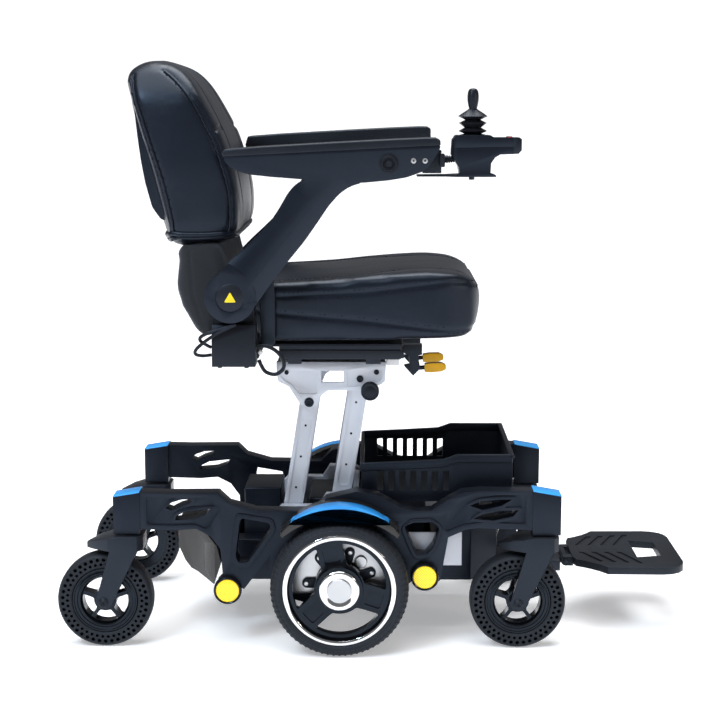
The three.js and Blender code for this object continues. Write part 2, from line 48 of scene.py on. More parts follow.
import bmesh
import bpy
from bpy.props import FloatProperty, FloatVectorProperty, IntProperty, PointerProperty
from mathutils import Matrix, Vector
from mathutils.bvhtree import BVHTree
from mathutils.kdtree import KDTree

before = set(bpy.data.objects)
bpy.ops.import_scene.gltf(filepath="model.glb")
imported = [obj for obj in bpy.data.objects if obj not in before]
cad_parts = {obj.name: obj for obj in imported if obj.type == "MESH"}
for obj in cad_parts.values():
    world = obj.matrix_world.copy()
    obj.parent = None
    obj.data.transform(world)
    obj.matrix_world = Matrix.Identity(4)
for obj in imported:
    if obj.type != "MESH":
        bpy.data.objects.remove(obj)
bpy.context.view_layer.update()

MM = 0.001
RIGHT = -1
LEFT = 1
SIDES = (("right", RIGHT), ("left", LEFT))
ARM_PIVOT = (-0.259, 0, 0.664)
STICK_FOOT = (0.168, -0.255, 0)
POWER_BUTTON = (0.232, -0.255, 0)
LENS_LENGTH = 80.4
SENSOR_WIDTH = 36.0
CAMERA_PLACE = (0.0, -3.093, 1.0032)
CAMERA_TILT = 9.06
CAMERA_TURN = 0.653
ENDS = ("rear", "front")


# ---------------------------------------------------------------- settings
class ChairSizes(bpy.types.PropertyGroup):
    """Sizes that a user might change."""

    edge_radius: FloatProperty(
        name="Moulded edge radius", description="Rounding of the moulded covers' edges",
        default=0.0035, min=0.0005, max=0.01, unit="LENGTH")
    metal_radius: FloatProperty(
        name="Metal edge radius", description="Rounding of plates, rails and brackets",
        default=0.0012, min=0.0002, max=0.005, unit="LENGTH")
    stitch_length: FloatProperty(
        name="Stitch length", description="Length of one stitch in the upholstery",
        default=0.0048, min=0.002, max=0.01, unit="LENGTH")
    stitch_pitch: FloatProperty(
        name="Stitch pitch", description="Distance from one stitch to the next",
        default=0.0075, min=0.003, max=0.02, unit="LENGTH")
    cushion_swell: FloatProperty(
        name="Cushion swell", description="How far the stuffing may push a cushion's skin out",
        default=0.022, min=0.0, max=0.03, unit="LENGTH")
    tyre_holes: IntProperty(
        name="Caster tyre holes", description="Round holes in each row of a caster tyre's side wall",
        default=42, min=12, max=60)
    tread_lugs: IntProperty(
        name="Drive tyre lugs", description="Lugs round each shoulder of a drive tyre",
        default=72, min=20, max=90)


class ChairColours(bpy.types.PropertyGroup):
    """Colours that a user might change."""

    moulded: FloatVectorProperty(
        name="Moulded plastic", description="Frames, arms and covers", subtype="COLOR", size=4,
        default=(0.0042, 0.0054, 0.0092, 1.0), min=0.0, max=1.0)
    leather: FloatVectorProperty(
        name="Leather", description="Seat and backrest upholstery", subtype="COLOR", size=4,
        default=(0.0048, 0.0062, 0.0105, 1.0), min=0.0, max=1.0)
    accent: FloatVectorProperty(
        name="Accent", description="Caps over the casters and the fender stripes", subtype="COLOR",
        size=4, default=(0.03, 0.31, 0.80, 1.0), min=0.0, max=1.0)
    lever: FloatVectorProperty(
        name="Lever grips", description="Grips of the seat release levers", subtype="COLOR", size=4,
        default=(0.80, 0.43, 0.01, 1.0), min=0.0, max=1.0)
    reflector: FloatVectorProperty(
        name="Reflectors", description="Round reflectors by the wheels", subtype="COLOR", size=4,
        default=(1.0, 0.80, 0.0, 1.0), min=0.0, max=1.0)


# ---------------------------------------------------------------- materials
FINISHES = {}


def lay_out(nodes):
    """Spreads a material's nodes out so that none lies on another."""
    loose = [node for node in nodes if node.type != "FRAME"]
    for spot, node in enumerate(loose):
        node.location = (240 * (spot % 6), -300 * (spot // 6))


COOL = (0.60, 0.74, 0.95, 1.0)
WHITE = (1.0, 1.0, 1.0, 1.0)


def empty_material(name):
    """A new material with no nodes, and its node and link lists."""
    material = bpy.data.materials.new(name)
    material.use_nodes = True
    material.node_tree.nodes.clear()
    return material, material.node_tree.nodes, material.node_tree.links


def add_node(nodes, kind, label, box=None, inputs=None, **settings):
    """A labelled node inside a frame, with its settings and its unlinked inputs."""
    node = nodes.new(kind)
    node.label = label
    if box:
        node.parent = box
    for key, value in settings.items():
        setattr(node, key, value)
    for key, value in (inputs or {}).items():
        node.inputs[key].default_value = value
    return node


def set_ramp(node, low, high, start=0.0, end=1.0):
    """The two colours of a ramp and where they stand."""
    for stop, position, colour in zip(node.color_ramp.elements, (start, end), (low, high)):
        stop.position = position
        stop.color = colour


def wire(links, *runs):
    """Links nodes: each run is a node, its output, the next node and its input."""
    for source, output, target, socket in runs:
        links.new(source.outputs[output], target.inputs[socket])


def moulded_plastic(name, colour, roughness, grain=900.0, depth=0.12, shine=0.3, sheen=COOL):
    """Injection-moulded plastic: fine spark grain, faint colour drift, edges rubbed a little paler."""
    material, nodes, links = empty_material(name)
    colour_frame = add_node(nodes, "NodeFrame", "Colour drift")
    grain_frame = add_node(nodes, "NodeFrame", "Spark grain")
    place = add_node(nodes, "ShaderNodeTexCoord", "Place on the chair")
    drift = add_node(
        nodes, "ShaderNodeTexNoise", "Slow drift in the moulding", colour_frame,
        inputs={"Scale": 9.0, "Detail": 4.0})
    tint = add_node(nodes, "ShaderNodeValToRGB", "Darker and paler plastic", colour_frame)
    set_ramp(
        tint, [c * 0.8 for c in colour[:3]] + [1.0], [min(1.0, c * 1.25) for c in colour[:3]] + [1.0],
        start=0.3, end=0.75)
    edges = add_node(nodes, "ShaderNodeNewGeometry", "Corners", colour_frame)
    rubbed = add_node(
        nodes, "ShaderNodeMapRange", "Only the sharp corners", colour_frame,
        inputs={"From Min": 0.53, "From Max": 0.62, "To Max": 0.35})
    wear = add_node(
        nodes, "ShaderNodeMixRGB", "Rubbed edges", colour_frame,
        inputs={"Color2": [min(1.0, c * 2.0 + 0.01) for c in colour[:3]] + [1.0]})
    grit = add_node(
        nodes, "ShaderNodeTexNoise", "Grain", grain_frame, inputs={"Scale": grain, "Detail": 2.0})
    gloss = add_node(
        nodes, "ShaderNodeMapRange", "Uneven gloss", grain_frame,
        inputs={"To Min": roughness - 0.06, "To Max": roughness + 0.08})
    bump = add_node(
        nodes, "ShaderNodeBump", "Grain relief", grain_frame,
        inputs={"Strength": depth, "Distance": 0.0004})
    shader = add_node(
        nodes, "ShaderNodeBsdfPrincipled", "Plastic",
        inputs={"Specular IOR Level": shine, "Specular Tint": sheen})
    output = add_node(nodes, "ShaderNodeOutputMaterial", "Surface")
    wire(
        links, (place, "Object", drift, "Vector"), (place, "Object", grit, "Vector"),
        (drift, "Fac", tint, "Fac"), (edges, "Pointiness", rubbed, "Value"),
        (rubbed, "Result", wear, "Fac"), (tint, "Color", wear, "Color1"),
        (wear, "Color", shader, "Base Color"), (drift, "Fac", gloss, "Value"),
        (gloss, "Result", shader, "Roughness"), (grit, "Fac", bump, "Height"),
        (bump, "Normal", shader, "Normal"), (shader, "BSDF", output, "Surface"))
    lay_out(nodes)
    return material


def metal(name, colour, roughness, grain_scale=(40.0, 40.0, 900.0), relief=0.05, bare=1.0):
    """Bright metal: a fine directional grain and faint smudges; bare falls where it is lacquered."""
    material, nodes, links = empty_material(name)
    grain_frame = add_node(nodes, "NodeFrame", "Brushed grain")
    smudge_frame = add_node(nodes, "NodeFrame", "Smudges")
    place = add_node(nodes, "ShaderNodeTexCoord", "Place on the chair")
    stretch = add_node(
        nodes, "ShaderNodeMapping", "Grain direction", grain_frame, inputs={"Scale": grain_scale})
    grain = add_node(
        nodes, "ShaderNodeTexNoise", "Grain", grain_frame, inputs={"Scale": 1.0, "Detail": 5.0})
    bump = add_node(
        nodes, "ShaderNodeBump", "Grain relief", grain_frame,
        inputs={"Strength": relief, "Distance": 0.0003})
    smudge = add_node(
        nodes, "ShaderNodeTexNoise", "Handling marks", smudge_frame,
        inputs={"Scale": 14.0, "Detail": 5.0})
    dull = add_node(
        nodes, "ShaderNodeMapRange", "Duller where handled", smudge_frame, inputs={"From Min": 0.3,
        "From Max": 0.75, "To Min": roughness * 0.85, "To Max": roughness * 1.25 + 0.02})
    tint = add_node(nodes, "ShaderNodeValToRGB", "Tone", smudge_frame)
    set_ramp(tint, [c * 0.93 for c in colour[:3]] + [1.0], list(colour[:3]) + [1.0])
    shader = add_node(nodes, "ShaderNodeBsdfPrincipled", "Metal", inputs={"Metallic": bare})
    output = add_node(nodes, "ShaderNodeOutputMaterial", "Surface")
    wire(
        links, (place, "Object", stretch, "Vector"), (stretch, "Vector", grain, "Vector"),
        (grain, "Fac", bump, "Height"), (place, "Object", smudge, "Vector"),
        (smudge, "Fac", dull, "Value"), (smudge, "Fac", tint, "Fac"),
        (tint, "Color", shader, "Base Color"), (dull, "Result", shader, "Roughness"),
        (bump, "Normal", shader, "Normal"), (shader, "BSDF", output, "Surface"))
    lay_out(nodes)
    return material


def hide(name, colour, roughness):
    """Upholstery leather: pebbled grain in cells, long soft creases, dye a little uneven at random."""
    material, nodes, links = empty_material(name)
    grain_frame = add_node(nodes, "NodeFrame", "Pebbled grain")
    crease_frame = add_node(nodes, "NodeFrame", "Creases")
    colour_frame = add_node(nodes, "NodeFrame", "Dye")
    place = add_node(nodes, "ShaderNodeTexCoord", "Place on the chair")
    warp = add_node(
        nodes, "ShaderNodeTexNoise", "Uneven pebbles", grain_frame, inputs={"Scale": 60.0, "Detail": 2.0})
    shift = add_node(nodes, "ShaderNodeMixRGB", "Pushed out of line", grain_frame, inputs={"Fac": 0.012})
    pebbles = add_node(
        nodes, "ShaderNodeTexVoronoi", "Pebbles", grain_frame, feature="DISTANCE_TO_EDGE",
        inputs={"Scale": 520.0})
    valleys = add_node(
        nodes, "ShaderNodeMapRange", "Valleys between pebbles", grain_frame, inputs={"From Max": 0.32})
    grain_bump = add_node(
        nodes, "ShaderNodeBump", "Grain relief", grain_frame,
        inputs={"Strength": 0.16, "Distance": 0.0005})
    creases = add_node(
        nodes, "ShaderNodeTexNoise", "Soft creases", crease_frame,
        inputs={"Scale": 11.0, "Detail": 3.0, "Distortion": 0.6})
    crease_bump = add_node(
        nodes, "ShaderNodeBump", "Crease relief", crease_frame,
        inputs={"Strength": 0.25, "Distance": 0.006})
    drift = add_node(
        nodes, "ShaderNodeTexNoise", "Uneven dye", colour_frame, inputs={"Scale": 6.0, "Detail": 6.0})
    dye = add_node(nodes, "ShaderNodeValToRGB", "Dye tones", colour_frame)
    set_ramp(
        dye, [c * 0.82 for c in colour[:3]] + [1.0], [min(1.0, c * 1.3) for c in colour[:3]] + [1.0],
        start=0.3, end=0.8)
    polish = add_node(
        nodes, "ShaderNodeMapRange", "Polished by use", colour_frame,
        inputs={"To Min": roughness - 0.05, "To Max": roughness + 0.09})
    shader = add_node(
        nodes, "ShaderNodeBsdfPrincipled", "Leather", inputs={"Specular IOR Level": 0.34,
        "Specular Tint": COOL, "Sheen Weight": 0.03, "Sheen Roughness": 0.45,
        "Sheen Tint": (0.75, 0.8, 0.95, 1.0)})
    output = add_node(nodes, "ShaderNodeOutputMaterial", "Surface")
    wire(
        links,
        (place, "Object", warp, "Vector"), (place, "Object", shift, "Color1"),
        (warp, "Color", shift, "Color2"), (shift, "Color", pebbles, "Vector"),
        (pebbles, "Distance", valleys, "Value"), (valleys, "Result", grain_bump, "Height"),
        (place, "Object", creases, "Vector"), (creases, "Fac", crease_bump, "Height"),
        (crease_bump, "Normal", grain_bump, "Normal"), (place, "Object", drift, "Vector"),
        (drift, "Fac", dye, "Fac"), (drift, "Fac", polish, "Value"), (dye, "Color", shader, "Base Color"),
        (polish, "Result", shader, "Roughness"), (grain_bump, "Normal", shader, "Normal"),
        (shader, "BSDF", output, "Surface"))
    lay_out(nodes)
    return material


def cloth(name, colour, threads=1500.0):
    """Woven cloth: two crossing sets of threads, painted shade in the gaps between them, and a soft nap.
    """
    material, nodes, links = empty_material(name)
    weave_frame = add_node(nodes, "NodeFrame", "Weave")
    colour_frame = add_node(nodes, "NodeFrame", "Colour")
    place = add_node(nodes, "ShaderNodeTexCoord", "Place on the chair")
    warp = add_node(
        nodes, "ShaderNodeTexWave", "Upright threads", weave_frame, bands_direction="DIAGONAL",
        inputs={"Scale": threads / 6.0})
    weft = add_node(
        nodes, "ShaderNodeTexWave", "Level threads", weave_frame, bands_direction="Z",
        inputs={"Scale": threads / 5.0})
    weave = add_node(
        nodes, "ShaderNodeMixRGB", "Over and under", weave_frame, blend_type="MULTIPLY",
        inputs={"Fac": 0.8})
    bump = add_node(
        nodes, "ShaderNodeBump", "Thread relief", weave_frame,
        inputs={"Strength": 0.45, "Distance": 0.0006})
    fade = add_node(
        nodes, "ShaderNodeTexNoise", "Uneven fade", colour_frame, inputs={"Scale": 18.0, "Detail": 8.0})
    tone = add_node(nodes, "ShaderNodeValToRGB", "Tones", colour_frame)
    set_ramp(
        tone, [c * 0.75 for c in colour[:3]] + [1.0], [min(1.0, c * 1.35) for c in colour[:3]] + [1.0])
    # Painted shade: the cloth colour is multiplied by the weave so that the gaps between the threads come
    # out darker.
    depth = add_node(
        nodes, "ShaderNodeMixRGB", "Painted shade between threads", colour_frame, blend_type="MULTIPLY",
        inputs={"Fac": 0.35})
    shader = add_node(
        nodes, "ShaderNodeBsdfPrincipled", "Cloth", inputs={"Roughness": 0.92, "Sheen Weight": 0.35,
        "Sheen Roughness": 0.5, "Sheen Tint": (0.6, 0.65, 0.75, 1.0)})
    output = add_node(nodes, "ShaderNodeOutputMaterial", "Surface")
    wire(
        links,
        (place, "Object", warp, "Vector"), (place, "Object", weft, "Vector"),
        (place, "Object", fade, "Vector"), (warp, "Color", weave, "Color1"),
        (weft, "Color", weave, "Color2"), (weave, "Color", bump, "Height"), (fade, "Fac", tone, "Fac"),
        (tone, "Color", depth, "Color1"), (weave, "Color", depth, "Color2"),
        (depth, "Color", shader, "Base Color"), (bump, "Normal", shader, "Normal"),
        (shader, "BSDF", output, "Surface"))
    lay_out(nodes)
    return material


def prism_lens(name, colour):
    """Reflector: a clear face over a fine crossed grid of prisms, with a faint painted glow in its own
    yellow.
    """
    material, nodes, links = empty_material(name)
    grid_frame = add_node(nodes, "NodeFrame", "Prism grid")
    place = add_node(nodes, "ShaderNodeTexCoord", "Place on the chair")
    turn = add_node(
        nodes, "ShaderNodeMapping", "Grid set on its corner", grid_frame,
        inputs={"Rotation": (0.0, math.radians(45.0), 0.0)})
    across = add_node(nodes, "ShaderNodeTexWave", "Prisms one way", grid_frame, inputs={"Scale": 95.0})
    along = add_node(
        nodes, "ShaderNodeTexWave", "Prisms the other way", grid_frame, bands_direction="Z",
        inputs={"Scale": 95.0})
    grid = add_node(nodes, "ShaderNodeMixRGB", "Crossed", grid_frame, inputs={"Fac": 0.5})
    tone = add_node(nodes, "ShaderNodeValToRGB", "Bright and deep yellow", grid_frame)
    set_ramp(
        tone, (colour[0] * 0.80, colour[1] * 0.55, 0.0, 1.0), list(colour[:3]) + [1.0], start=0.25,
        end=0.6)
    bump = add_node(
        nodes, "ShaderNodeBump", "Prism relief", grid_frame, inputs={"Strength": 0.3, "Distance": 0.0006})
    # Painted glow: the lens gives off a little light of its own in its yellow tones, though it is no
    # lamp.
    shader = add_node(
        nodes, "ShaderNodeBsdfPrincipled", "Lens",
        inputs={"Roughness": 0.25, "Coat Weight": 0.6, "Emission Strength": 0.25})
    output = add_node(nodes, "ShaderNodeOutputMaterial", "Surface")
    wire(
        links,
        (place, "Object", turn, "Vector"), (turn, "Vector", across, "Vector"),
        (turn, "Vector", along, "Vector"), (across, "Color", grid, "Color1"),
        (along, "Color", grid, "Color2"), (grid, "Color", tone, "Fac"), (grid, "Color", bump, "Height"),
        (tone, "Color", shader, "Base Color"), (tone, "Color", shader, "Emission Color"),
        (bump, "Normal", shader, "Normal"), (shader, "BSDF", output, "Surface"))
    lay_out(nodes)
    return material


def make_finishes():
    """Every finish on the chair, by the name of its slot in the record."""
    colours = bpy.context.scene.chair_colours
    FINISHES.update(
        {"moulded_black": moulded_plastic("Moulded black", colours.moulded, 0.34),
        "arm_black": moulded_plastic("Arm cover black", colours.moulded, 0.3, 700.0, 0.08, 0.4),
        "basket_black": moulded_plastic("Basket black", colours.moulded, 0.42, 420.0, 0.35),
        "fork_black": moulded_plastic("Fork powder coat", (0.013, 0.015, 0.02, 1), 0.34, 1300.0, 0.1),
        "dark_steel": moulded_plastic("Black powder coat", (0.009, 0.0095, 0.012, 1), 0.36, 1500.0, 0.08),
        "footplate_grey": moulded_plastic("Footplate black", (0.013, 0.0145, 0.018, 1), 0.45, 500.0, 0.3),
        "cover_grey": moulded_plastic("Rear cover", (0.020, 0.019, 0.019, 1), 0.18, 1600.0, 0.03, 0.36,
        WHITE), "accent_blue": moulded_plastic("Accent blue", colours.accent, 0.2, 1600.0, 0.02, 0.5,
        WHITE), "rim_black": moulded_plastic("Rim gloss black", (0.0030, 0.0034, 0.0045, 1), 0.14, 1600.0,
        0.02, 0.32), "lever_yellow": moulded_plastic("Lever grip", colours.lever, 0.35, 700.0, 0.1),
        "warning_yellow": moulded_plastic("Plain triangle", (0.85, 0.6, 0.02, 1), 0.4, 900.0, 0.05),
        "tyre": moulded_plastic("Tyre rubber", (0.016, 0.017, 0.02, 1), 0.62, 500.0, 0.3),
        "arm_pad": moulded_plastic("Arm pad rubber", (0.008, 0.0085, 0.011, 1), 0.4, 600.0, 0.25),
        "soft_rubber": moulded_plastic("Soft rubber", (0.007, 0.007, 0.009, 1), 0.38, 800.0, 0.15),
        "light_red": moulded_plastic("Red lens", (0.55, 0.01, 0.02, 1), 0.12, 200.0, 0.1),
        "thread": moulded_plastic("Thread", (0.0015, 0.0017, 0.0025, 1), 0.7, 2000.0, 0.2),
        "white_label": moulded_plastic("White block", (0.75, 0.76, 0.78, 1), 0.4, 900.0, 0.05),
        "aluminium": metal("Satin aluminium", (0.60, 0.63, 0.70), 0.42, bare=0.35),
        "chrome": metal("Chrome", (0.85, 0.86, 0.88), 0.06, (200.0, 200.0, 200.0), 0.01),
        "bolt": metal("Zinc bolt", (0.55, 0.56, 0.58), 0.3, (300.0, 300.0, 300.0), 0.05),
        "leather": hide("Black leather", colours.leather, 0.3), "back_fabric": cloth("Charcoal cloth",
        (0.0095, 0.011, 0.0155, 1)),
        "reflector_yellow": prism_lens("Yellow reflector", colours.reflector), })


# ---------------------------------------------------------------- mesh helpers
PLANES = {
    "x": (Vector((0, 1, 0)), Vector((0, 0, 1)), Vector((1, 0, 0))),
    "y": (Vector((1, 0, 0)), Vector((0, 0, 1)), Vector((0, 1, 0))),
    "z": (Vector((1, 0, 0)), Vector((0, 1, 0)), Vector((0, 0, 1))),
}


def prism(bm, outline, along, low, high):
    """A closed bar of that outline, in millimetres, from low to high along one axis."""
    across, up, out = PLANES[along]
    verts = [bm.verts.new((across * a + up * b + out * low) * MM) for a, b in outline]
    face = bm.faces.new(verts)
    pushed = bmesh.ops.extrude_face_region(bm, geom=[face], use_keep_orig=True)
    moved = [v for v in pushed["geom"] if isinstance(v, bmesh.types.BMVert)]
    bmesh.ops.translate(bm, verts=moved, vec=out * (high - low) * MM)
    return verts + moved


def turned(bm, profile, centre, axis, steps=64, side=1):
    """A profile of (radius, distance along the axis) in millimetres, turned about an axis."""
    out = PLANES[axis][2] * side
    across = PLANES[axis][0]
    middle = Vector(centre)
    verts = [bm.verts.new(middle + (across * r + out * d) * MM) for r, d in profile]
    closed = profile[0] == profile[-1]
    if closed:
        bm.verts.remove(verts.pop())
    pairs = list(zip(verts, verts[1:]))
    if closed:
        pairs.append((verts[-1], verts[0]))
    edges = [bm.edges.new(pair) for pair in pairs]
    bmesh.ops.spin(
        bm, geom=verts + edges, cent=middle, axis=out, dvec=(0, 0, 0), angle=math.tau,
        steps=steps, use_merge=True, use_duplicate=False)
    bmesh.ops.remove_doubles(bm, verts=bm.verts, dist=1e-6)


def block(bm, low, high):
    """A box between two corners, in millimetres."""
    made = bmesh.ops.create_cube(bm, size=1.0)
    size = [(b - a) * MM for a, b in zip(low, high)]
    middle = [(a + b) / 2 * MM for a, b in zip(low, high)]
    bmesh.ops.scale(bm, verts=made["verts"], vec=size)
    bmesh.ops.translate(bm, verts=made["verts"], vec=middle)
    return made["verts"]


def rod(bm, start, end, radius, sides=24):
    """A round bar between two points, in metres."""
    start, end = Vector(start), Vector(end)
    way = end - start
    spot = Matrix.Translation((start + end) / 2) @ way.to_track_quat("Z", "Y").to_matrix().to_4x4()
    bmesh.ops.create_cone(
        bm, cap_ends=True, segments=sides, radius1=radius, radius2=radius, depth=way.length, matrix=spot)


def arc(centre, radius, start, end, count):
    """Points on an arc, in millimetres, angles in degrees."""
    turns = [math.radians(start + (end - start) * i / count) for i in range(count + 1)]
    return [(centre[0] + radius * math.cos(t), centre[1] + radius * math.sin(t)) for t in turns]


def rounded(outline, radius, count=4):
    """The outline with its corners rounded off."""
    points = []
    for i, here in enumerate(outline):
        here = Vector(here)
        before = Vector(outline[i - 1]) - here
        after = Vector(outline[(i + 1) % len(outline)]) - here
        reach = min(radius, before.length * 0.45, after.length * 0.45)
        start, end = here + before.normalized() * reach, here + after.normalized() * reach
        for k in range(count + 1):
            t = k / count
            points.append(tuple(start * (1 - t) ** 2 + here * 2 * t * (1 - t) + end * t ** 2))
    return points


def cad_copy(*names):
    """The CAD nodes' own shape with its loose triangles joined into whole faces."""
    bm = bmesh.new()
    for name in names:
        bm.from_mesh(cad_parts[name].data)
    bmesh.ops.remove_doubles(bm, verts=bm.verts, dist=2e-5)
    bmesh.ops.dissolve_limit(
        bm, angle_limit=math.radians(0.6), use_dissolve_boundaries=False,
        verts=bm.verts, edges=bm.edges)
    return bm


def finish_piece(name, bm, finish, body, slot=None, replaces=(), radius=0.0, segments=3, sharp=38.0):
    """Makes the piece, rounds its edges, gives it its finish and lets it ride on its body."""
    bmesh.ops.recalc_face_normals(bm, faces=bm.faces)
    mesh = bpy.data.meshes.new(name)
    bm.to_mesh(mesh)
    bm.free()
    mesh.materials.append(FINISHES[finish])
    piece = bpy.data.objects.new(name, mesh)
    bpy.context.scene.collection.objects.link(piece)
    if radius:
        add_modifier(
            piece, "Rounded edges", "BEVEL", width=radius, segments=segments, limit_method="ANGLE",
            angle_limit=math.radians(28.0), use_clamp_overlap=True)
        bake_modifiers(piece)
        mesh = piece.data
    mesh.shade_smooth()
    mesh.set_sharp_from_angle(angle=math.radians(sharp))
    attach(piece, body)
    if replaces:
        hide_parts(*replaces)
    return piece


def add_modifier(piece, name, kind, **settings):
    """A modifier with its settings."""
    modifier = piece.modifiers.new(name, kind)
    for key, value in settings.items():
        setattr(modifier, key, value)
    return modifier


def bake_modifiers(piece):
    """Puts the modifiers' result into the piece's own mesh."""
    graph = bpy.context.evaluated_depsgraph_get()
    graph.update()
    result = bpy.data.meshes.new_from_object(piece.evaluated_get(graph))
    piece.modifiers.clear()
    piece.data = result


def carve(bm, cutters, operation="DIFFERENCE"):
    """Cuts each cutter out of the shape, or joins it on, and returns the new shape."""
    bmesh.ops.recalc_face_normals(bm, faces=bm.faces)
    mesh = bpy.data.meshes.new("carved")
    bm.to_mesh(mesh)
    bm.free()
    target = bpy.data.objects.new("carved", mesh)
    bpy.context.scene.collection.objects.link(target)
    tools = []
    for cutter in cutters:
        bmesh.ops.recalc_face_normals(cutter, faces=cutter.faces)
        tool_mesh = bpy.data.meshes.new("tool")
        cutter.to_mesh(tool_mesh)
        cutter.free()
        tool = bpy.data.objects.new("tool", tool_mesh)
        bpy.context.scene.collection.objects.link(tool)
        add_modifier(target, "Cut", "BOOLEAN", operation=operation, solver="EXACT", object=tool)
        tools.append(tool)
    bake_modifiers(target)
    result = bmesh.new()
    result.from_mesh(target.data)
    for tool in [target, *tools]:
        bpy.data.objects.remove(tool)
    bmesh.ops.remove_doubles(result, verts=result.verts, dist=1e-5)
    bmesh.ops.dissolve_limit(
        result, angle_limit=math.radians(0.6), use_dissolve_boundaries=False,
        verts=result.verts, edges=result.edges)
    return result


def plate_shape(outline, along, low, high):
    """A bmesh holding one prism, for carve()."""
    bm = bmesh.new()
    prism(bm, outline, along, low, high)
    return bm


def round_shape(profile, centre, axis, steps=48, side=1):
    """A bmesh holding one turned shape, for carve()."""
    bm = bmesh.new()
    turned(bm, profile, centre, axis, steps, side)
    return bm


def span(side, inner, outer):
    """Inner and outer distances from the middle as a low and a high Y."""
    return sorted((side * inner, side * outer))


def flipped(bm):
    """The same shape on the other side of the chair."""
    other = bm.copy()
    bmesh.ops.scale(other, verts=other.verts, vec=(1, -1, 1))
    bmesh.ops.recalc_face_normals(other, faces=other.faces)
    return other


def moved(bm, x, y, z, side=1):
    """A copy of a shape made about the origin, set in its place, with its outer face outwards."""
    copy = bm.copy()
    bmesh.ops.scale(copy, verts=copy.verts, vec=(1, side, 1))
    bmesh.ops.translate(copy, verts=copy.verts, vec=(x * MM, y * MM, z * MM))
    bmesh.ops.recalc_face_normals(copy, faces=copy.faces)
    return copy


def pair(name, right_shape, finish, body="{}", replaces=(), **options):
    """The shape made for the right side, and its mirror image on the left."""
    shapes = {"right": right_shape, "left": flipped(right_shape)}
    pieces = []
    for side, bm in shapes.items():
        nodes = [node.format(side) for node in replaces]
        pieces.append(finish_piece(
            f"{name}_{side}", bm, finish, body.format(side), replaces=nodes, **options))
    return pieces


def curve_of(name, points, radius, finish, body, resolution=4):
    """A round line through the points, which are in metres."""
    line = bpy.data.curves.new(name, "CURVE")
    line.dimensions = "3D"
    line.bevel_depth = radius
    line.bevel_resolution = resolution
    line.use_fill_caps = True
    spline = line.splines.new("POLY")
    spline.points.add(len(points) - 1)
    for point, place in zip(spline.points, points):
        point.co = (*place, 1.0)
    line.materials.append(FINISHES[finish])
    piece = bpy.data.objects.new(name, line)
    bpy.context.scene.collection.objects.link(piece)
    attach(piece, body)
    return piece


def smooth_route(points, count=8):
    """A smooth line through the points."""
    points = [Vector(p) for p in points]
    line = []
    for i in range(len(points) - 1):
        a, b = points[max(i - 1, 0)], points[i]
        c, d = points[i + 1], points[min(i + 2, len(points) - 1)]
        for k in range(count):
            t = k / count
            line.append(0.5 * (
                2 * b + (c - a) * t + (2 * a - 5 * b + 4 * c - d) * t * t
                + (3 * b - a - 3 * c + d) * t ** 3))
    line.append(points[-1])
    return line


def evenly(points, step):
    """The same line with a point every step metres."""
    out = [Vector(points[0])]
    left = step
    for a, b in zip(points, points[1:]):
        a, b = Vector(a), Vector(b)
        length = (b - a).length
        spot = left
        while spot <= length:
            out.append(a.lerp(b, spot / length))
            spot += step
        left = spot - length
    return out


def skin_of(piece):
    """The piece's surface, to find its nearest point."""
    return BVHTree.FromPolygons(
        [v.co.copy() for v in piece.data.vertices], [tuple(p.vertices) for p in piece.data.polygons])


def laid_on(skin, points, step=0.004, lift=0.0):
    """The line brought onto the surface, as (place, normal) pairs."""
    laid = []
    for point in evenly(points, step):
        place, normal, _, _ = skin.find_nearest(point)
        laid.append((place + normal * lift, normal))
    return laid


def one_stitch():
    """One stitch about the origin, a millimetre in half-length each way."""
    bm = bmesh.new()
    bmesh.ops.create_uvsphere(bm, u_segments=8, v_segments=5, radius=1.0)
    mesh = bpy.data.meshes.new("stitch")
    bm.to_mesh(mesh)
    bm.free()
    return mesh


def stitches(bm, laid, aside=0.0, radius=0.0009):
    """A row of stitches along a laid line, moved aside in the surface."""
    sizes = bpy.context.scene.chair_sizes
    stitch = one_stitch()
    places = [place for place, _ in laid]
    walked = 0.0
    for i in range(1, len(places) - 1):
        walked += (places[i] - places[i - 1]).length
        if walked < sizes.stitch_pitch:
            continue
        walked = 0.0
        way = (places[i + 1] - places[i - 1]).normalized()
        normal = laid[i][1]
        across = way.cross(normal).normalized()
        middle = places[i] + across * aside + normal * radius * 0.4
        turn = Matrix((way, across, normal)).transposed().to_4x4()
        size = Matrix.Diagonal((sizes.stitch_length / 2, radius * 1.25, radius, 1.0))
        place = Matrix.Translation(middle) @ turn @ size
        stitch.transform(place)
        bm.from_mesh(stitch)
        stitch.transform(place.inverted())


def groove(piece, lines, depth, reach):
    """Presses the surface in along sewn lines."""
    from_lines = KDTree(sum(len(line) for line in lines))
    count = 0
    for line in lines:
        for place, _ in line:
            from_lines.insert(place, count)
            count += 1
    from_lines.balance()
    normals = [v.normal.copy() for v in piece.data.vertices]
    for vertex, normal in zip(piece.data.vertices, normals):
        _, _, away = from_lines.find(vertex.co)
        if away < reach * 3:
            vertex.co -= normal * depth * math.exp(-((away / reach) ** 2))


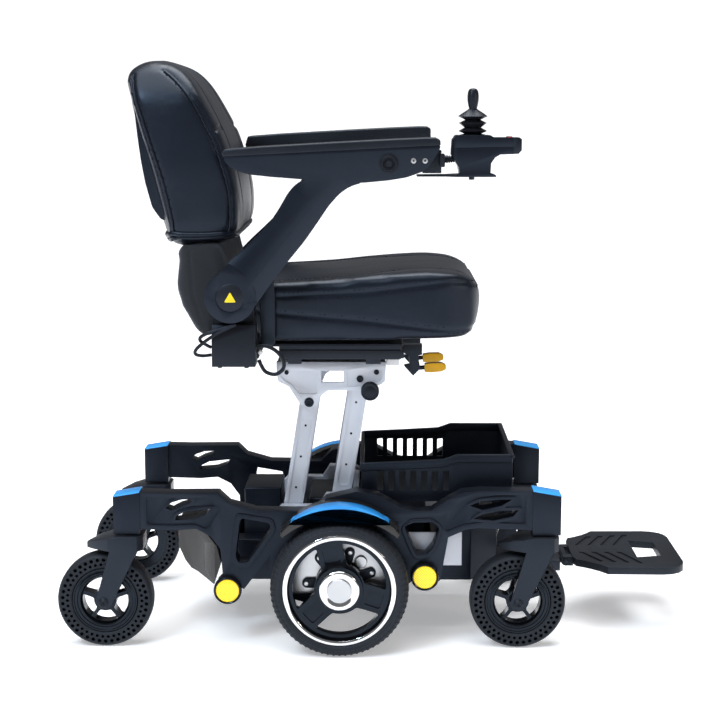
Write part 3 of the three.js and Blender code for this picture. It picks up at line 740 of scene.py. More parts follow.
def inflate(piece, sewn_lines, cap, relax_steps, frames=16, pressure=4.0, hold=None, voxel=0.006):
    """Stuffs the piece: cloth under pressure, held at its sewn lines and where hold() says."""
    add_modifier(piece, "Even skin", "REMESH", mode="VOXEL", voxel_size=voxel)
    bake_modifiers(piece)
    add_modifier(piece, "Relaxed", "SMOOTH", iterations=relax_steps, factor=0.5)
    bake_modifiers(piece)
    skin = skin_of(piece)
    lines = [laid_on(skin, line) for line in sewn_lines]
    sewn = KDTree(sum(len(line) for line in lines) or 1)
    count = 0
    for line in lines:
        for place, _ in line:
            sewn.insert(place, count)
            count += 1
    sewn.balance()
    group = piece.vertex_groups.new(name="sewn")
    for vertex in piece.data.vertices:
        near = sewn.find(vertex.co)[2] if count else None
        weight = 0.0
        if near is not None and near < voxel * 1.1:
            weight = 1.0
        if hold and hold(vertex.co, vertex.normal):
            weight = 1.0
        group.add([vertex.index], weight, "REPLACE")
    before = [v.co.copy() for v in piece.data.vertices]
    cloth_sim = add_modifier(piece, "Stuffing", "CLOTH")
    settings = cloth_sim.settings
    settings.quality = 4
    settings.mass = 0.3
    settings.use_pressure = True
    settings.uniform_pressure_force = pressure
    settings.tension_stiffness = 15.0
    settings.compression_stiffness = 15.0
    settings.shear_stiffness = 5.0
    settings.bending_stiffness = 0.5
    settings.vertex_group_mass = "sewn"
    settings.effector_weights.gravity = 0.0
    cloth_sim.point_cache.frame_start = 1
    cloth_sim.point_cache.frame_end = frames
    scene = bpy.context.scene
    for frame_number in range(1, frames + 1):
        scene.frame_set(frame_number)
    bake_modifiers(piece)
    scene.frame_set(1)
    for vertex, old in zip(piece.data.vertices, before):
        push = vertex.co - old
        if push.length > cap:
            vertex.co = old + push.normalized() * cap
    add_modifier(piece, "Finer skin", "SUBSURF", levels=1, render_levels=1)
    bake_modifiers(piece)
    skin = skin_of(piece)
    return [laid_on(skin, line) for line in sewn_lines]


def bare_piece(name, bm):
    """A piece whose shape is worked on after it is made."""
    bmesh.ops.recalc_face_normals(bm, faces=bm.faces)
    mesh = bpy.data.meshes.new(name)
    bm.to_mesh(mesh)
    bm.free()
    piece = bpy.data.objects.new(name, mesh)
    bpy.context.scene.collection.objects.link(piece)
    return piece


def dress(piece, finish, body, replaces=()):
    """Gives a worked piece its finish, its body and the node that it stands for."""
    piece.data.materials.clear()
    piece.data.materials.append(FINISHES[finish])
    piece.data.shade_smooth()
    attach(piece, body)
    if replaces:
        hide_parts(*replaces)


# ---------------------------------------------------------------- stage and camera
class CHAIR_OT_stage(bpy.types.Operator):
    """Sets the camera, the white floor and the lights."""

    bl_idname = "chair.stage"
    bl_label = "Stage"

    def execute(self, context):
        scene = context.scene
        scene.view_settings.view_transform = "Standard"
        lens = bpy.data.cameras.new("Camera")
        lens.lens = LENS_LENGTH
        lens.sensor_width = SENSOR_WIDTH
        camera = bpy.data.objects.new("Camera", lens)
        camera.location = CAMERA_PLACE
        camera.rotation_euler = (math.radians(90 - CAMERA_TILT), 0.0, math.radians(CAMERA_TURN))
        scene.collection.objects.link(camera)
        scene.camera = camera
        bm = bmesh.new()
        bmesh.ops.create_grid(bm, x_segments=8, y_segments=8, size=60.0)
        ground = bpy.data.meshes.new("floor")
        bm.to_mesh(ground)
        bm.free()
        ground.materials.append(self.floor_white())
        floor = bpy.data.objects.new("floor", ground)
        scene.collection.objects.link(floor)
        self.sky(scene)
        self.backdrop(scene)
        self.overhead()
        self.lamp("Key light", (-1.6, -2.3, 2.6), (0.0, 0.0, 0.6), 46.0, 0.7, (0.72, 0.86, 1.0))
        self.lamp("Fill light", (2.6, -2.2, 1.5), (0.0, 0.0, 0.5), 16.0, 0.6, (1.0, 0.88, 0.76))
        self.lamp("Top light", (0.1, 0.7, 3.2), (0.0, 0.0, 0.6), 60.0, 1.8, (1.0, 1.0, 1.0))
        return {"FINISHED"}

    @staticmethod
    def floor_white():
        """The floor's finish: white paper with a little light of its own."""
        material, nodes, links = empty_material("Studio floor")
        shader = add_node(
            nodes, "ShaderNodeBsdfDiffuse", "Paper white", inputs={"Color": (0.88, 0.885, 0.9, 1.0)})
        glow = add_node(
            nodes, "ShaderNodeEmission", "Light from under the paper", location=(0, -200),
            inputs={"Color": (0.97, 0.98, 1.0, 1.0), "Strength": 0.36})
        both = add_node(nodes, "ShaderNodeAddShader", "Lit paper", location=(240, 0))
        output = add_node(nodes, "ShaderNodeOutputMaterial", "Surface", location=(480, 0))
        wire(
            links, (shader, "BSDF", both, 0), (glow, "Emission", both, 1),
            (both, "Shader", output, "Surface"))
        return material

    @staticmethod
    def backdrop(scene):
        """A white wall far behind, which lights nothing."""
        bm = bmesh.new()
        bmesh.ops.create_grid(bm, x_segments=2, y_segments=2, size=70.0)
        bmesh.ops.rotate(bm, verts=bm.verts, cent=(0, 0, 0), matrix=Matrix.Rotation(math.pi / 2, 3, "X"))
        bmesh.ops.translate(bm, verts=bm.verts, vec=(0, 59.0, 0))
        wall_mesh = bpy.data.meshes.new("backdrop")
        bm.to_mesh(wall_mesh)
        bm.free()
        material, nodes, links = empty_material("Backdrop white")
        glow = add_node(nodes, "ShaderNodeEmission", "White", inputs={"Strength": 1.1})
        output = add_node(nodes, "ShaderNodeOutputMaterial", "Surface", location=(260, 0))
        wire(links, (glow, "Emission", output, "Surface"))
        wall_mesh.materials.append(material)
        wall = bpy.data.objects.new("backdrop", wall_mesh)
        wall.visible_glossy = False
        wall.visible_diffuse = False
        wall.visible_shadow = False
        scene.collection.objects.link(wall)

    @staticmethod
    def overhead():
        """The big soft light over the whole floor."""
        light = bpy.data.lights.new("Overhead", "SUN")
        light.energy = 2.6
        light.angle = math.radians(55.0)
        lamp = bpy.data.objects.new("Overhead", light)
        lamp.rotation_euler = (math.radians(14.0), math.radians(-10.0), 0.0)
        bpy.context.scene.collection.objects.link(lamp)

    @staticmethod
    def sky(scene):
        """A dim white world all round."""
        world = bpy.data.worlds.new("Studio")
        world.use_nodes = True
        nodes = world.node_tree.nodes
        nodes.clear()
        white = add_node(
            nodes, "ShaderNodeBackground", "White room", inputs={"Color": WHITE, "Strength": 0.16})
        output = add_node(nodes, "ShaderNodeOutputWorld", "World", location=(260, 0))
        wire(world.node_tree.links, (white, "Background", output, "Surface"))
        scene.world = world

    @staticmethod
    def lamp(name, place, target, power, size, colour):
        """A square soft lamp aimed at a point."""
        light = bpy.data.lights.new(name, "AREA")
        light.color = colour
        light.energy = power
        light.size = size
        lamp = bpy.data.objects.new(name, light)
        lamp.location = place
        aim = Vector(target) - Vector(place)
        lamp.rotation_euler = aim.to_track_quat("-Z", "Y").to_euler()
        bpy.context.scene.collection.objects.link(lamp)


# ---------------------------------------------------------------- leads
class CHAIR_OT_leads(bpy.types.Operator):
    """Lays the two leads from the right arm's hub and the lead under the seat."""

    bl_idname = "chair.leads"
    bl_label = "Leads"

    def execute(self, context):
        make_finishes()
        upper = [
            (-0.250, -0.2805, 0.6148), (-0.272, -0.2805, 0.609), (-0.296, -0.280, 0.601),
            (-0.312, -0.278, 0.593), (-0.314, -0.274, 0.585), (-0.304, -0.269, 0.577),
            (-0.296, -0.265, 0.572)]
        lower = [
            (-0.250, -0.2805, 0.6148), (-0.268, -0.2805, 0.607), (-0.288, -0.280, 0.596),
            (-0.307, -0.278, 0.583), (-0.322, -0.274, 0.569), (-0.323, -0.269, 0.560),
            (-0.311, -0.264, 0.5565), (-0.296, -0.260, 0.5575)]
        seat = [
            (-0.2146, -0.250, 0.571), (-0.198, -0.250, 0.572), (-0.180, -0.251, 0.563),
            (-0.168, -0.252, 0.547), (-0.168, -0.252, 0.531), (-0.182, -0.251, 0.521),
            (-0.199, -0.250, 0.525), (-0.207, -0.250, 0.536), (-0.2115, -0.250, 0.547)]
        first = curve_of(
            "arm_lead_upper", smooth_route(upper), 0.003, "soft_rubber", "seat")
        second = curve_of(
            "arm_lead_lower", smooth_route(lower), 0.003, "soft_rubber", "seat")
        third = curve_of("seat_lead", smooth_route(seat), 0.0035, "soft_rubber", "seat")
        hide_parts("arm_cable")
        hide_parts("seat_cable")
        return {"FINISHED"}


# ---------------------------------------------------------------- upholstery
class CHAIR_OT_seat_cushion(bpy.types.Operator):
    """Stuffs and sews the seat cushion."""

    bl_idname = "chair.seat_cushion"
    bl_label = "Seat cushion"

    def execute(self, context):
        swell = context.scene.chair_sizes.cushion_swell
        bm = cad_copy("seat_cushion")
        low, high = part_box("seat_cushion")
        middle = (low + high) / 2
        size = high - low
        inset = 0.006
        bmesh.ops.translate(bm, verts=bm.verts, vec=-middle)
        bmesh.ops.scale(bm, verts=bm.verts, vec=[1 - 2 * inset / s for s in size])
        bmesh.ops.translate(bm, verts=bm.verts, vec=middle)
        piece = bare_piece("seat_cushion_cover", bm)
        seams = self.seams()
        floor = low.z + inset + 0.012
        laid = inflate(
            piece, seams, swell * 0.6, 36, hold=lambda co, n: n.z < -0.6 and co.z < floor)
        groove(piece, laid, 0.002, 0.0042)
        dress(piece, "leather", "seat", ["seat_cushion"])
        skin = skin_of(piece)
        bm = bmesh.new()
        for line in laid[:4]:
            for aside in (-0.0055, 0.0055):
                again = [(skin.find_nearest(p)[0], skin.find_nearest(p)[1]) for p, _ in line]
                stitches(bm, again, aside)
        for line in laid[4:]:
            again = [(skin.find_nearest(p)[0], skin.find_nearest(p)[1]) for p, _ in line]
            stitches(bm, again, 0.0045)
        finish_piece("seat_cushion_stitches", bm, "thread", "seat", slot="leather")
        for number, line in enumerate(laid[4:]):
            places = [skin.find_nearest(p)[0] + skin.find_nearest(p)[1] * 0.0009 for p, _ in line]
            curve_of(f"seat_cushion_piping_{number}", places, 0.0024, "leather", "seat")
        return {"FINISHED"}

    @staticmethod
    def seams():
        """Sewn lines: upper and lower rows on the sides and round the front, then the top panels."""
        half = 0.216
        rows = []
        for back_z, mid_z, front_z in ((0.654, 0.664, 0.684), (0.630, 0.612, 0.592)):
            line = [(-0.235, -half, back_z), (-0.02, -half, mid_z), (0.14, -half, front_z),
                    (0.18, -half + 0.02, front_z), (0.198, -half + 0.06, front_z),
                    (0.198, half - 0.06, front_z), (0.18, half - 0.02, front_z),
                    (0.14, half, front_z), (-0.02, half, mid_z), (-0.235, half, back_z)]
            rows.append(line)
        top = 0.72
        rows.append(
            [(-0.22, -0.165, top), (-0.02, -0.165, top), (0.03, -0.135, top), (0.17, -0.125, top)])
        rows.append([(-0.22, 0.165, top), (-0.02, 0.165, top), (0.03, 0.135, top), (0.17, 0.125, top)])
        rows.append([(-0.19, -half, 0.70), (-0.19, -half, 0.58)])
        rows.append([(-0.19, half, 0.70), (-0.19, half, 0.58)])
        return rows


class CHAIR_OT_backrest(bpy.types.Operator):
    """Stuffs and sews the backrest."""

    bl_idname = "chair.backrest"
    bl_label = "Backrest"

    def execute(self, context):
        swell = context.scene.chair_sizes.cushion_swell
        bm = cad_copy("backrest_cushion")
        low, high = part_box("backrest_cushion")
        middle = (low + high) / 2
        size = high - low
        inset = 0.004
        bmesh.ops.translate(bm, verts=bm.verts, vec=-middle)
        bmesh.ops.scale(bm, verts=bm.verts, vec=[1 - 2 * inset / s for s in size])
        bmesh.ops.translate(bm, verts=bm.verts, vec=middle)
        piece = bare_piece("backrest_cover", bm)
        seams, count = self.seams()
        laid = inflate(piece, seams, swell * 0.7, 80)
        groove(piece, laid, 0.003, 0.005)
        dress(piece, "leather", "backrest", ["backrest_cushion"])
        skin = skin_of(piece)
        again = [[skin.find_nearest(p)[:2] for p, _ in line] for line in laid]
        bm = bmesh.new()
        for line in again[:count]:
            for aside in (-0.005, 0.005):
                stitches(bm, line, aside)
        for line in again[count:]:
            stitches(bm, line, 0.004)
        finish_piece("backrest_stitches", bm, "thread", "backrest", slot="leather")
        for number, line in enumerate(again[:count]):
            places = [place + normal * 0.001 for place, normal in line]
            curve_of(f"backrest_piping_{number}", places, 0.0024, "leather", "backrest")
        self.hem(skin)
        self.pocket()
        return {"FINISHED"}

    @staticmethod
    def hem(skin):
        """Two rolls of leather round the bottom edge."""
        loop = rounded([(-394, -206), (-394, 206), (-248, 206), (-248, -206)], 40, 6)
        for number, height in enumerate((0.761, 0.750)):
            line = [Vector((x * MM, y * MM, height)) for x, y in [*loop, loop[0]]]
            places = [place for place, _ in laid_on(skin, line, 0.006, 0.0012)]
            curve_of(
                f"backrest_hem_{number}", [*places, places[0]], 0.0046, "leather", "backrest")

    @staticmethod
    def pocket():
        """The map pocket that stands out from the back."""
        outline = [
            (-442, 1002), (-440, 980), (-436, 940), (-431, 900), (-424, 860), (-412, 815), (-396, 792),
            (-384, 790), (-388, 800), (-396, 840), (-408, 890), (-420, 940), (-436, 990)]
        bm = bmesh.new()
        prism(bm, rounded(outline, 5, 2), "y", -155, 155)
        finish_piece("backrest_pocket", bm, "leather", "backrest", radius=0.005, segments=4, sharp=60)

    @staticmethod
    def seams():
        """Sewn lines: the two edges of each side panel, then the panel lines across the front."""
        lines = []
        for side in (RIGHT, LEFT):
            y = side * 0.212
            lines.append([
                (-0.262, y, 0.752), (-0.258, y, 0.80), (-0.262, y, 0.86), (-0.284, y, 0.93),
                (-0.315, y * 0.97, 0.99), (-0.352, y * 0.9, 1.045), (-0.385, y * 0.8, 1.075)])
            lines.append([
                (-0.375, y, 0.745), (-0.375, y, 0.79), (-0.392, y, 0.868), (-0.418, y * 0.98, 0.95),
                (-0.44, y * 0.92, 1.02), (-0.444, y * 0.8, 1.06)])
        count = len(lines)
        for side in (RIGHT, LEFT):
            lines.append([
                (-0.245, side * 0.105, 0.76), (-0.24, side * 0.11, 0.82), (-0.25, side * 0.115, 0.88),
                (-0.275, side * 0.115, 0.955), (-0.325, side * 0.105, 1.04), (-0.36, side * 0.1, 1.075)])
            lines.append([(-0.28, side * 0.195, 0.962), (-0.275, side * 0.115, 0.965)])
        return lines, count


class CHAIR_OT_back_cover(bpy.types.Operator):
    """Makes the cloth cover over the backrest's lower frame."""

    bl_idname = "chair.back_cover"
    bl_label = "Lower back cover"

    def execute(self, context):
        bm = cad_copy("backrest_frame")
        bmesh.ops.scale(bm, verts=bm.verts, vec=(1, 1, 1.06), space=Matrix.Translation((0, 0, -0.578)))
        piece = bare_piece("lower_back_cover", bm)
        add_modifier(piece, "Rounded", "BEVEL", width=0.012, segments=4, limit_method="ANGLE")
        bake_modifiers(piece)
        add_modifier(piece, "Even skin", "REMESH", mode="VOXEL", voxel_size=0.006)
        bake_modifiers(piece)
        add_modifier(piece, "Relaxed", "SMOOTH", iterations=5)
        bake_modifiers(piece)
        folds = bpy.data.textures.new("Folds", "CLOUDS")
        folds.noise_scale = 0.055
        add_modifier(
            piece, "Loose cloth", "DISPLACE", texture=folds, texture_coords="LOCAL", strength=0.006,
            mid_level=0.15)
        add_modifier(piece, "Finer skin", "SUBSURF", levels=1, render_levels=1)
        bake_modifiers(piece)
        skin = skin_of(piece)
        seam = laid_on(skin, [(-0.34, -0.2, 0.74), (-0.335, -0.2, 0.66), (-0.31, -0.2, 0.58)])
        groove(piece, [seam], 0.0015, 0.003)
        dress(piece, "back_fabric", "backrest", ["backrest_frame"])
        return {"FINISHED"}


# ---------------------------------------------------------------- arms
STRUT = [
    (-299, 684), (-280, 706), (-262, 724), (-236, 748), (-208, 775), (-186, 799), (-170, 823),
    (-157, 846), (-146, 860), (-130, 870), (-98, 880), (-60, 882), (-23, 866), (-44, 861), (-64, 848),
    (-84, 826), (-102, 799), (-128, 762), (-156, 728), (-190, 684), (-217, 645)]
ARM_BODY = [
    (-268, 910.6), (-265, 902), (-256, 893), (-240, 885), (-222, 880), (-185, 876), (-132, 872),
    (-80, 868), (-23, 866), (20, 870), (51, 875), (82, 886), (92, 896), (104, 914), (110, 926),
    (110.5, 930)]


class CHAIR_OT_arms(bpy.types.Operator):
    """Makes the two arm covers with their hubs, pads, screws and knobs."""

    bl_idname = "chair.arms"
    bl_label = "Arms"

    def execute(self, context):
        radius = context.scene.chair_sizes.edge_radius
        arm = carve(plate_shape(rounded(STRUT, 9, 2), "y", -286, -240),
                    [plate_shape(rounded(ARM_BODY, 5, 2), "y", -286, -227)], "UNION")
        arm = carve(arm, [self.facet((-213.5, 656), 51, (0, 262), 27, -62, 17),
                          self.facet((-213.5, 656), 51, (24, 200), 40, 62, 7)])
        hub = round_shape(
            [(0, 240), (46, 240), (46, 286), (26.6, 286), (26.2, 284.6), (24.8, 284.6), (24.4, 286),
            (0, 286)], ARM_PIVOT, "y", 72, RIGHT)
        arm = carve(arm, [hub], "UNION")
        bore = round_shape([(0, 200), (13, 200), (13, 265), (0, 265)], ARM_PIVOT, "y", 32, RIGHT)
        arm = carve(arm, [bore])
        pair(
            "arm_cover", arm, "arm_black", "arm_{}", ["arm_{}"], slot="moulded_black", radius=radius,
            sharp=50)
        self.trims()
        self.pads()
        return {"FINISHED"}

    @staticmethod
    def facet(start, angle, reach, crease, wide, deep):
        """A slanted cut in the outer face, from a crease down to the edge beside it."""
        turn = math.radians(angle)
        way, aside = Vector((math.cos(turn), math.sin(turn))), Vector((-math.sin(turn), math.cos(turn)))
        bm = bmesh.new()
        ends = []
        for along in reach:
            spot = Vector(start) + way * along
            near, far = spot + aside * crease, spot + aside * (crease + wide)
            ends.append([bm.verts.new(Vector((a.x, y, a.y)) * MM)
                         for a, y in ((near, -286.1), (far, -292), (far, -286 + deep))])
        first, last = ends
        bm.faces.new(first)
        bm.faces.new(last)
        for a, b in ((0, 1), (1, 2), (2, 0)):
            bm.faces.new((first[a], first[b], last[b], last[a]))
        return bm

    @staticmethod
    def trims():
        cap = bmesh.new()
        turned(
            cap, [(0, 286.8), (23, 286.8), (24, 286.2), (24.2, 285)], ARM_PIVOT, "y", 48, RIGHT)
        pair("arm_hub_cap", cap, "dark_steel", "arm_{}")
        sign = bmesh.new()
        prism(sign, rounded([(-259, 674), (-248.5, 655.5), (-269.5, 655.5)], 3), "y", -287.6, -286.7)
        pair("arm_hub_triangle", sign, "warning_yellow", "arm_{}", slot="lever_yellow", radius=0.0002)
        knob = bmesh.new()
        turned(
            knob, [(0, 290.4), (6, 290.4), (7.4, 288), (9.4, 288), (10.6, 291), (13.4, 291),
            (14.6, 288.6), (17.5, 288), (17.5, 285)], (0.021, 0, 0.899), "y", 48, RIGHT)
        pair("arm_knob", knob, "soft_rubber", "arm_{}")
        screws = bmesh.new()
        for x in (64, 84):
            turned(
                screws, [(1.8, 285.4), (1.8, 286.6), (4.6, 286.4), (5.4, 285.2)], (x * MM, 0, 0.904), "y",
                24, RIGHT)
            turned(screws, [(0, 285.3), (1.8, 285.3)], (x * MM, 0, 0.904), "y", 6, RIGHT)
        pair("arm_screws", screws, "bolt", "arm_{}", slot="chrome")

    @staticmethod
    def pads():
        for word, side in SIDES:
            extra = 12 if side == LEFT else 0
            top = [
                (-268, 909.8), (-271.5, 918), (-266, 924 + extra), (-200, 929 + extra),
                (-60, 937 + extra), (30, 941.6 + extra), (88, 944 + extra), (104, 943.6 + extra),
                (110.5, 940 + extra), (111, 929.6)]
            bm = bmesh.new()
            prism(bm, top, "y", *span(side, 228, 286.4))
            finish_piece(
                f"arm_pad_top_{word}", bm, "arm_pad", f"arm_{word}", replaces=[f"arm_pad_{word}"],
                radius=0.0034, segments=4, sharp=60)
        bracket = bmesh.new()
        block(bracket, (80, -272, 882), (113, -240, 922))
        finish_piece("arm_front_bracket", bracket, "dark_steel", "arm_right", radius=0.0012)


class CHAIR_OT_joystick(bpy.types.Operator):
    """Makes the joystick box with its bracket, boot, stick and buttons."""

    bl_idname = "chair.joystick"
    bl_label = "Joystick"

    def execute(self, context):
        radius = context.scene.chair_sizes.edge_radius
        bm = cad_copy("joystick_housing")
        bm = carve(
            bm, [plate_shape([(120, 925), (262, 928.5), (262, 929.5), (120, 926)], "y", -310, -283.5)])
        finish_piece("joystick_box", bm, "arm_black", "arm_right", slot="moulded_black",
                     replaces=["joystick_housing"], radius=radius * 0.8, sharp=45)
        relief = bmesh.new()
        for number in range(6):
            x = 114 + number * 4
            reach = 8.0 - number * 0.5
            across = [(-255 + reach * math.cos(t), 906 + reach * math.sin(t))
                      for t in [math.tau * k / 20 for k in range(20)]]
            prism(relief, across, "x", x, x + 2.6)
            inner = [(-255 + 0.75 * (a + 255), 906 + 0.75 * (b - 906)) for a, b in across]
            prism(relief, inner, "x", x + 2.4, x + 4.2)
        finish_piece("joystick_strain_relief", relief, "soft_rubber", "arm_right", radius=0.0004)
        ear = bmesh.new()
        prism(ear, rounded([(110, 893), (110, 915), (118, 917), (119, 893)], 3), "y", -280, -262)
        finish_piece("joystick_bracket_ear", ear, "dark_steel", "arm_right", radius=0.001)
        bolt = bmesh.new()
        turned(bolt, [(0, 870), (4.5, 870), (5, 871), (5, 877)], (0.167, -0.255, 0), "z", 6)
        finish_piece("joystick_bracket_bolt", bolt, "dark_steel", "arm_right", radius=0.0004)
        self.boot()
        self.stick()
        self.buttons()
        return {"FINISHED"}

    @staticmethod
    def boot():
        """The pleated boot in two turned halves, the lower and the upper."""
        lower = [
            (24, 948.3), (15, 950.5), (25.5, 955), (14.5, 961), (24.5, 969), (23, 969), (13, 961),
            (24, 955), (13.5, 950.5), (22.5, 948.3), (24, 948.3)]
        upper = [
            (24.5, 969), (13.5, 974.5), (26, 980.5), (20, 985), (9, 992), (6.2, 994.5), (5.6, 994),
            (8, 991), (18.5, 984), (24, 980.5), (12.3, 974.5), (23, 969), (24.5, 969)]
        for name, profile, fixed, moving, low, high in (
                ("lower", lower, "arm_right", "joystick_gimbal", 0.9483, 0.969),
                ("upper", upper, "joystick_gimbal", "joystick_stick", 0.969, 0.990)):
            bm = bmesh.new()
            turned(bm, profile, STICK_FOOT, "z", 48)
            piece = bare_piece(f"joystick_boot_{name}", bm)
            piece.data.materials.append(FINISHES["soft_rubber"])
            piece.data.shade_smooth()
            piece.data.set_sharp_from_angle(angle=math.radians(75))
            if name == "lower":
                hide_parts("joystick_boot")
            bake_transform(piece)

    @staticmethod
    def stick():
        bm = bmesh.new()
        turned(
            bm, [(0, 932), (5.5, 932), (5.5, 990), (6.6, 993), (8.2, 999), (9.8, 1008), (9.9, 1016),
            (9, 1023), (7, 1027), (3.5, 1028.6), (0, 1029)], STICK_FOOT, "z", 40)
        finish_piece("joystick_handle", bm, "soft_rubber", "joystick_stick", replaces=["joystick_stick"],
                     radius=0.0006, sharp=60)
        ring = cad_copy("joystick_gimbal")
        finish_piece(
            "joystick_gimbal_ring", ring, "dark_steel", "joystick_gimbal", replaces=["joystick_gimbal"],
            radius=0.0005)

    @staticmethod
    def buttons():
        bm = bmesh.new()
        turned(
            bm, [(0, 946), (4.2, 946), (5.6, 945.2), (6, 943.8), (6, 941.5)], POWER_BUTTON, "z", 32)
        finish_piece("power_button_cap", bm, "soft_rubber", "power_button", replaces=["power_button"],
                     radius=0.0003)
        lights = bmesh.new()
        for y in (-271, -239):
            turned(lights, [(0, 945.4), (2.2, 945.2), (2.6, 943.5)], (0.232, y * MM, 0), "z", 20)
        finish_piece("joystick_lamps", lights, "light_red", "arm_right", slot="cover_grey")


# ---------------------------------------------------------------- seat hardware
class CHAIR_OT_seat_hardware(bpy.types.Operator):
    """Makes the arm mounts, seat pan, slide rails and release levers."""

    bl_idname = "chair.seat_hardware"
    bl_label = "Seat hardware"

    def execute(self, context):
        radius = context.scene.chair_sizes.metal_radius
        mount = cad_copy("arm_mount_right")
        mount = carve(
            mount, [plate_shape([(-276.1, 583), (-266, 618), (-282, 618), (-282, 583)], "x", -300, -210)])
        pair(
            "arm_mount_box", mount, "dark_steel", "seat", ["arm_mount_{}"], radius=0.005, segments=4,
            sharp=45)
        bolts = bmesh.new()
        for x in (-281, -233):
            turned(
                bolts, [(0, 534.4), (3.4, 534.4), (4.2, 535.2), (4.4, 538.4)], (x * MM, -0.262, 0), "z",
                24)
        pair("arm_mount_bolts", bolts, "dark_steel", "seat")
        plug = bmesh.new()
        turned(plug, [(0, 255), (3.4, 255), (3.8, 254), (3.8, 240)], (-0.209, 0, 0.560), "y", 24, RIGHT)
        finish_piece(
            "seat_lead_connector", plug, "white_label", "seat", slot="footplate_grey", radius=0.0003)
        pan = cad_copy("seat_frame")
        finish_piece("seat_pan", pan, "dark_steel", "seat", replaces=["seat_frame"], radius=radius)
        rails = cad_copy("slide_rails")
        finish_piece(
            "seat_slide_rails", rails, "dark_steel", "carriage", replaces=["slide_rails"], radius=radius)
        self.levers()
        self.side_skirt()
        return {"FINISHED"}

    @staticmethod
    def levers():
        grip = rounded(
            [(92, 495), (92, 510), (104, 512), (124, 512.5), (133, 508), (133, 500), (124, 496),
            (104, 494)], 2, 3)
        bm = bmesh.new()
        prism(bm, grip, "y", -69, -51)
        pair("lever_grip", bm, "lever_yellow", "lever_{}", ["release_lever_{}"], radius=0.003, segments=4)
        stem = bmesh.new()
        rod(stem, (0.074, -0.06, 0.501), (0.094, -0.06, 0.503), 0.0042)
        pair("lever_stem", stem, "dark_steel", "lever_{}")

    @staticmethod
    def side_skirt():
        bm = bmesh.new()
        prism(
            bm, rounded([(-212, 568), (-212, 660), (-206, 694), (-188, 700), (-184, 660), (-184, 568)],
            8), "y", -217.5, -205)
        pair("seat_side_panel", bm, "leather", "seat", radius=0.003)


# ---------------------------------------------------------------- lift
class CHAIR_OT_lift(bpy.types.Operator):
    """Makes the lift's links, its top plate and its base."""

    bl_idname = "chair.lift"
    bl_label = "Seat lift"

    def execute(self, context):
        radius = context.scene.chair_sizes.metal_radius
        for name, low, top in (("rear", (-165, 205), (-127, 446)), ("front", (-69, 250), (-31, 491))):
            self.link(name, Vector(low), Vector(top), radius)
        self.carriage(radius)
        base = cad_copy("lift_base")
        finish_piece("lift_base_plates", base, "aluminium", "base", replaces=["lift_base"], radius=radius)
        knob = bmesh.new()
        profile = [
            (0, 158.5), (8, 158.5), (10, 157.2), (13, 157.2), (14.5, 158), (16, 157.4), (17, 155.6)]
        for rib in range(5):
            profile += [(17, 154.5 - rib * 2.6), (16.4, 153.6 - rib * 2.6), (16.4, 152.8 - rib * 2.6)]
        profile += [(17, 141.2), (16, 140), (5, 140), (5, 112), (0, 112)]
        turned(knob, profile, (-0.012, 0, 0.472), "y", 48, RIGHT)
        finish_piece("lock_knob_grip", knob, "soft_rubber", "lock_knob", replaces=["lock_knob"], sharp=50)
        return {"FINISHED"}

    @staticmethod
    def link(name, low, top, radius):
        way = (top - low).normalized()
        aside = Vector((-way.y, way.x))
        shape = cad_copy(f"lift_{name}_link")
        pocket = [low + way * 34 + aside * 10.5, low + way * 34 - aside * 10.5,
                  top - way * 34 - aside * 10.5, top - way * 34 + aside * 10.5]
        pocket = rounded([tuple(p) for p in pocket], 10, 6)
        cuts = []
        for side in (RIGHT, LEFT):
            near, far = span(side, 106.4, 120)
            cuts.append(plate_shape(pocket, "y", near, far))
        shape = carve(shape, cuts)
        finish_piece(
            f"lift_{name}_link_arms", shape, "aluminium", f"{name}_link", replaces=[f"lift_{name}_link"],
            radius=radius)
        caps = bmesh.new()
        screws = bmesh.new()
        for side in (RIGHT, LEFT):
            turned(caps, [(0, 111), (5, 111), (6, 113), (9, 113), (12, 110), (12, 108.2)],
                   (low.x * MM, 0, low.y * MM), "y", 32, side)
            for share in (0.3, 0.55, 0.8):
                spot = low.lerp(top, share)
                turned(
                    screws, [(0, 107.6), (1.6, 107.6), (2.2, 107), (2.2, 106)],
                    (spot.x * MM, 0, spot.y * MM), "y", 16, side)
        finish_piece(f"lift_{name}_link_caps", caps, "bolt", f"{name}_link", slot="chrome", radius=0.0004)
        finish_piece(f"lift_{name}_link_screws", screws, "dark_steel", f"{name}_link")

    @staticmethod
    def carriage(radius):
        plate = cad_copy("lift_carriage")
        pockets = [
            rounded([(-181, 508), (-178, 490), (-160, 480), (-146, 462), (-112, 462), (-112, 508)], 6, 4),
            rounded([(-55, 508), (-55, 476), (-38, 476), (2, 486), (10, 490), (10, 508)], 6, 4),
        ]
        cuts = []
        for side in (RIGHT, LEFT):
            near, far = span(side, 123.4, 130)
            for outline in pockets:
                cuts.append(plate_shape(outline, "y", near, far))
        plate = carve(plate, cuts)
        finish_piece(
            "lift_top_plate", plate, "aluminium", "carriage", replaces=["lift_carriage"], radius=radius)
        bolts = bmesh.new()
        for x, z, size in ((-127, 446, 9), (-31, 491, 6.5), (-169, 503, 4), (0, 504, 5)):
            for side in (RIGHT, LEFT):
                turned(
                    bolts, [(0, 126.5), (size * 0.45, 126.5), (size * 0.5, 128.4), (size * 0.85, 128.4),
                    (size, 127), (size, 124)], (x * MM, 0, z * MM), "y", 32, side)
        finish_piece("lift_plate_bolts", bolts, "dark_steel", "carriage", radius=0.0004)
        block_white = bmesh.new()
        block(block_white, (18, -118, 516), (43, -92, 528))
        finish_piece("lift_plate_block", block_white, "white_label", "carriage", slot="footplate_grey",
                     radius=0.0015)


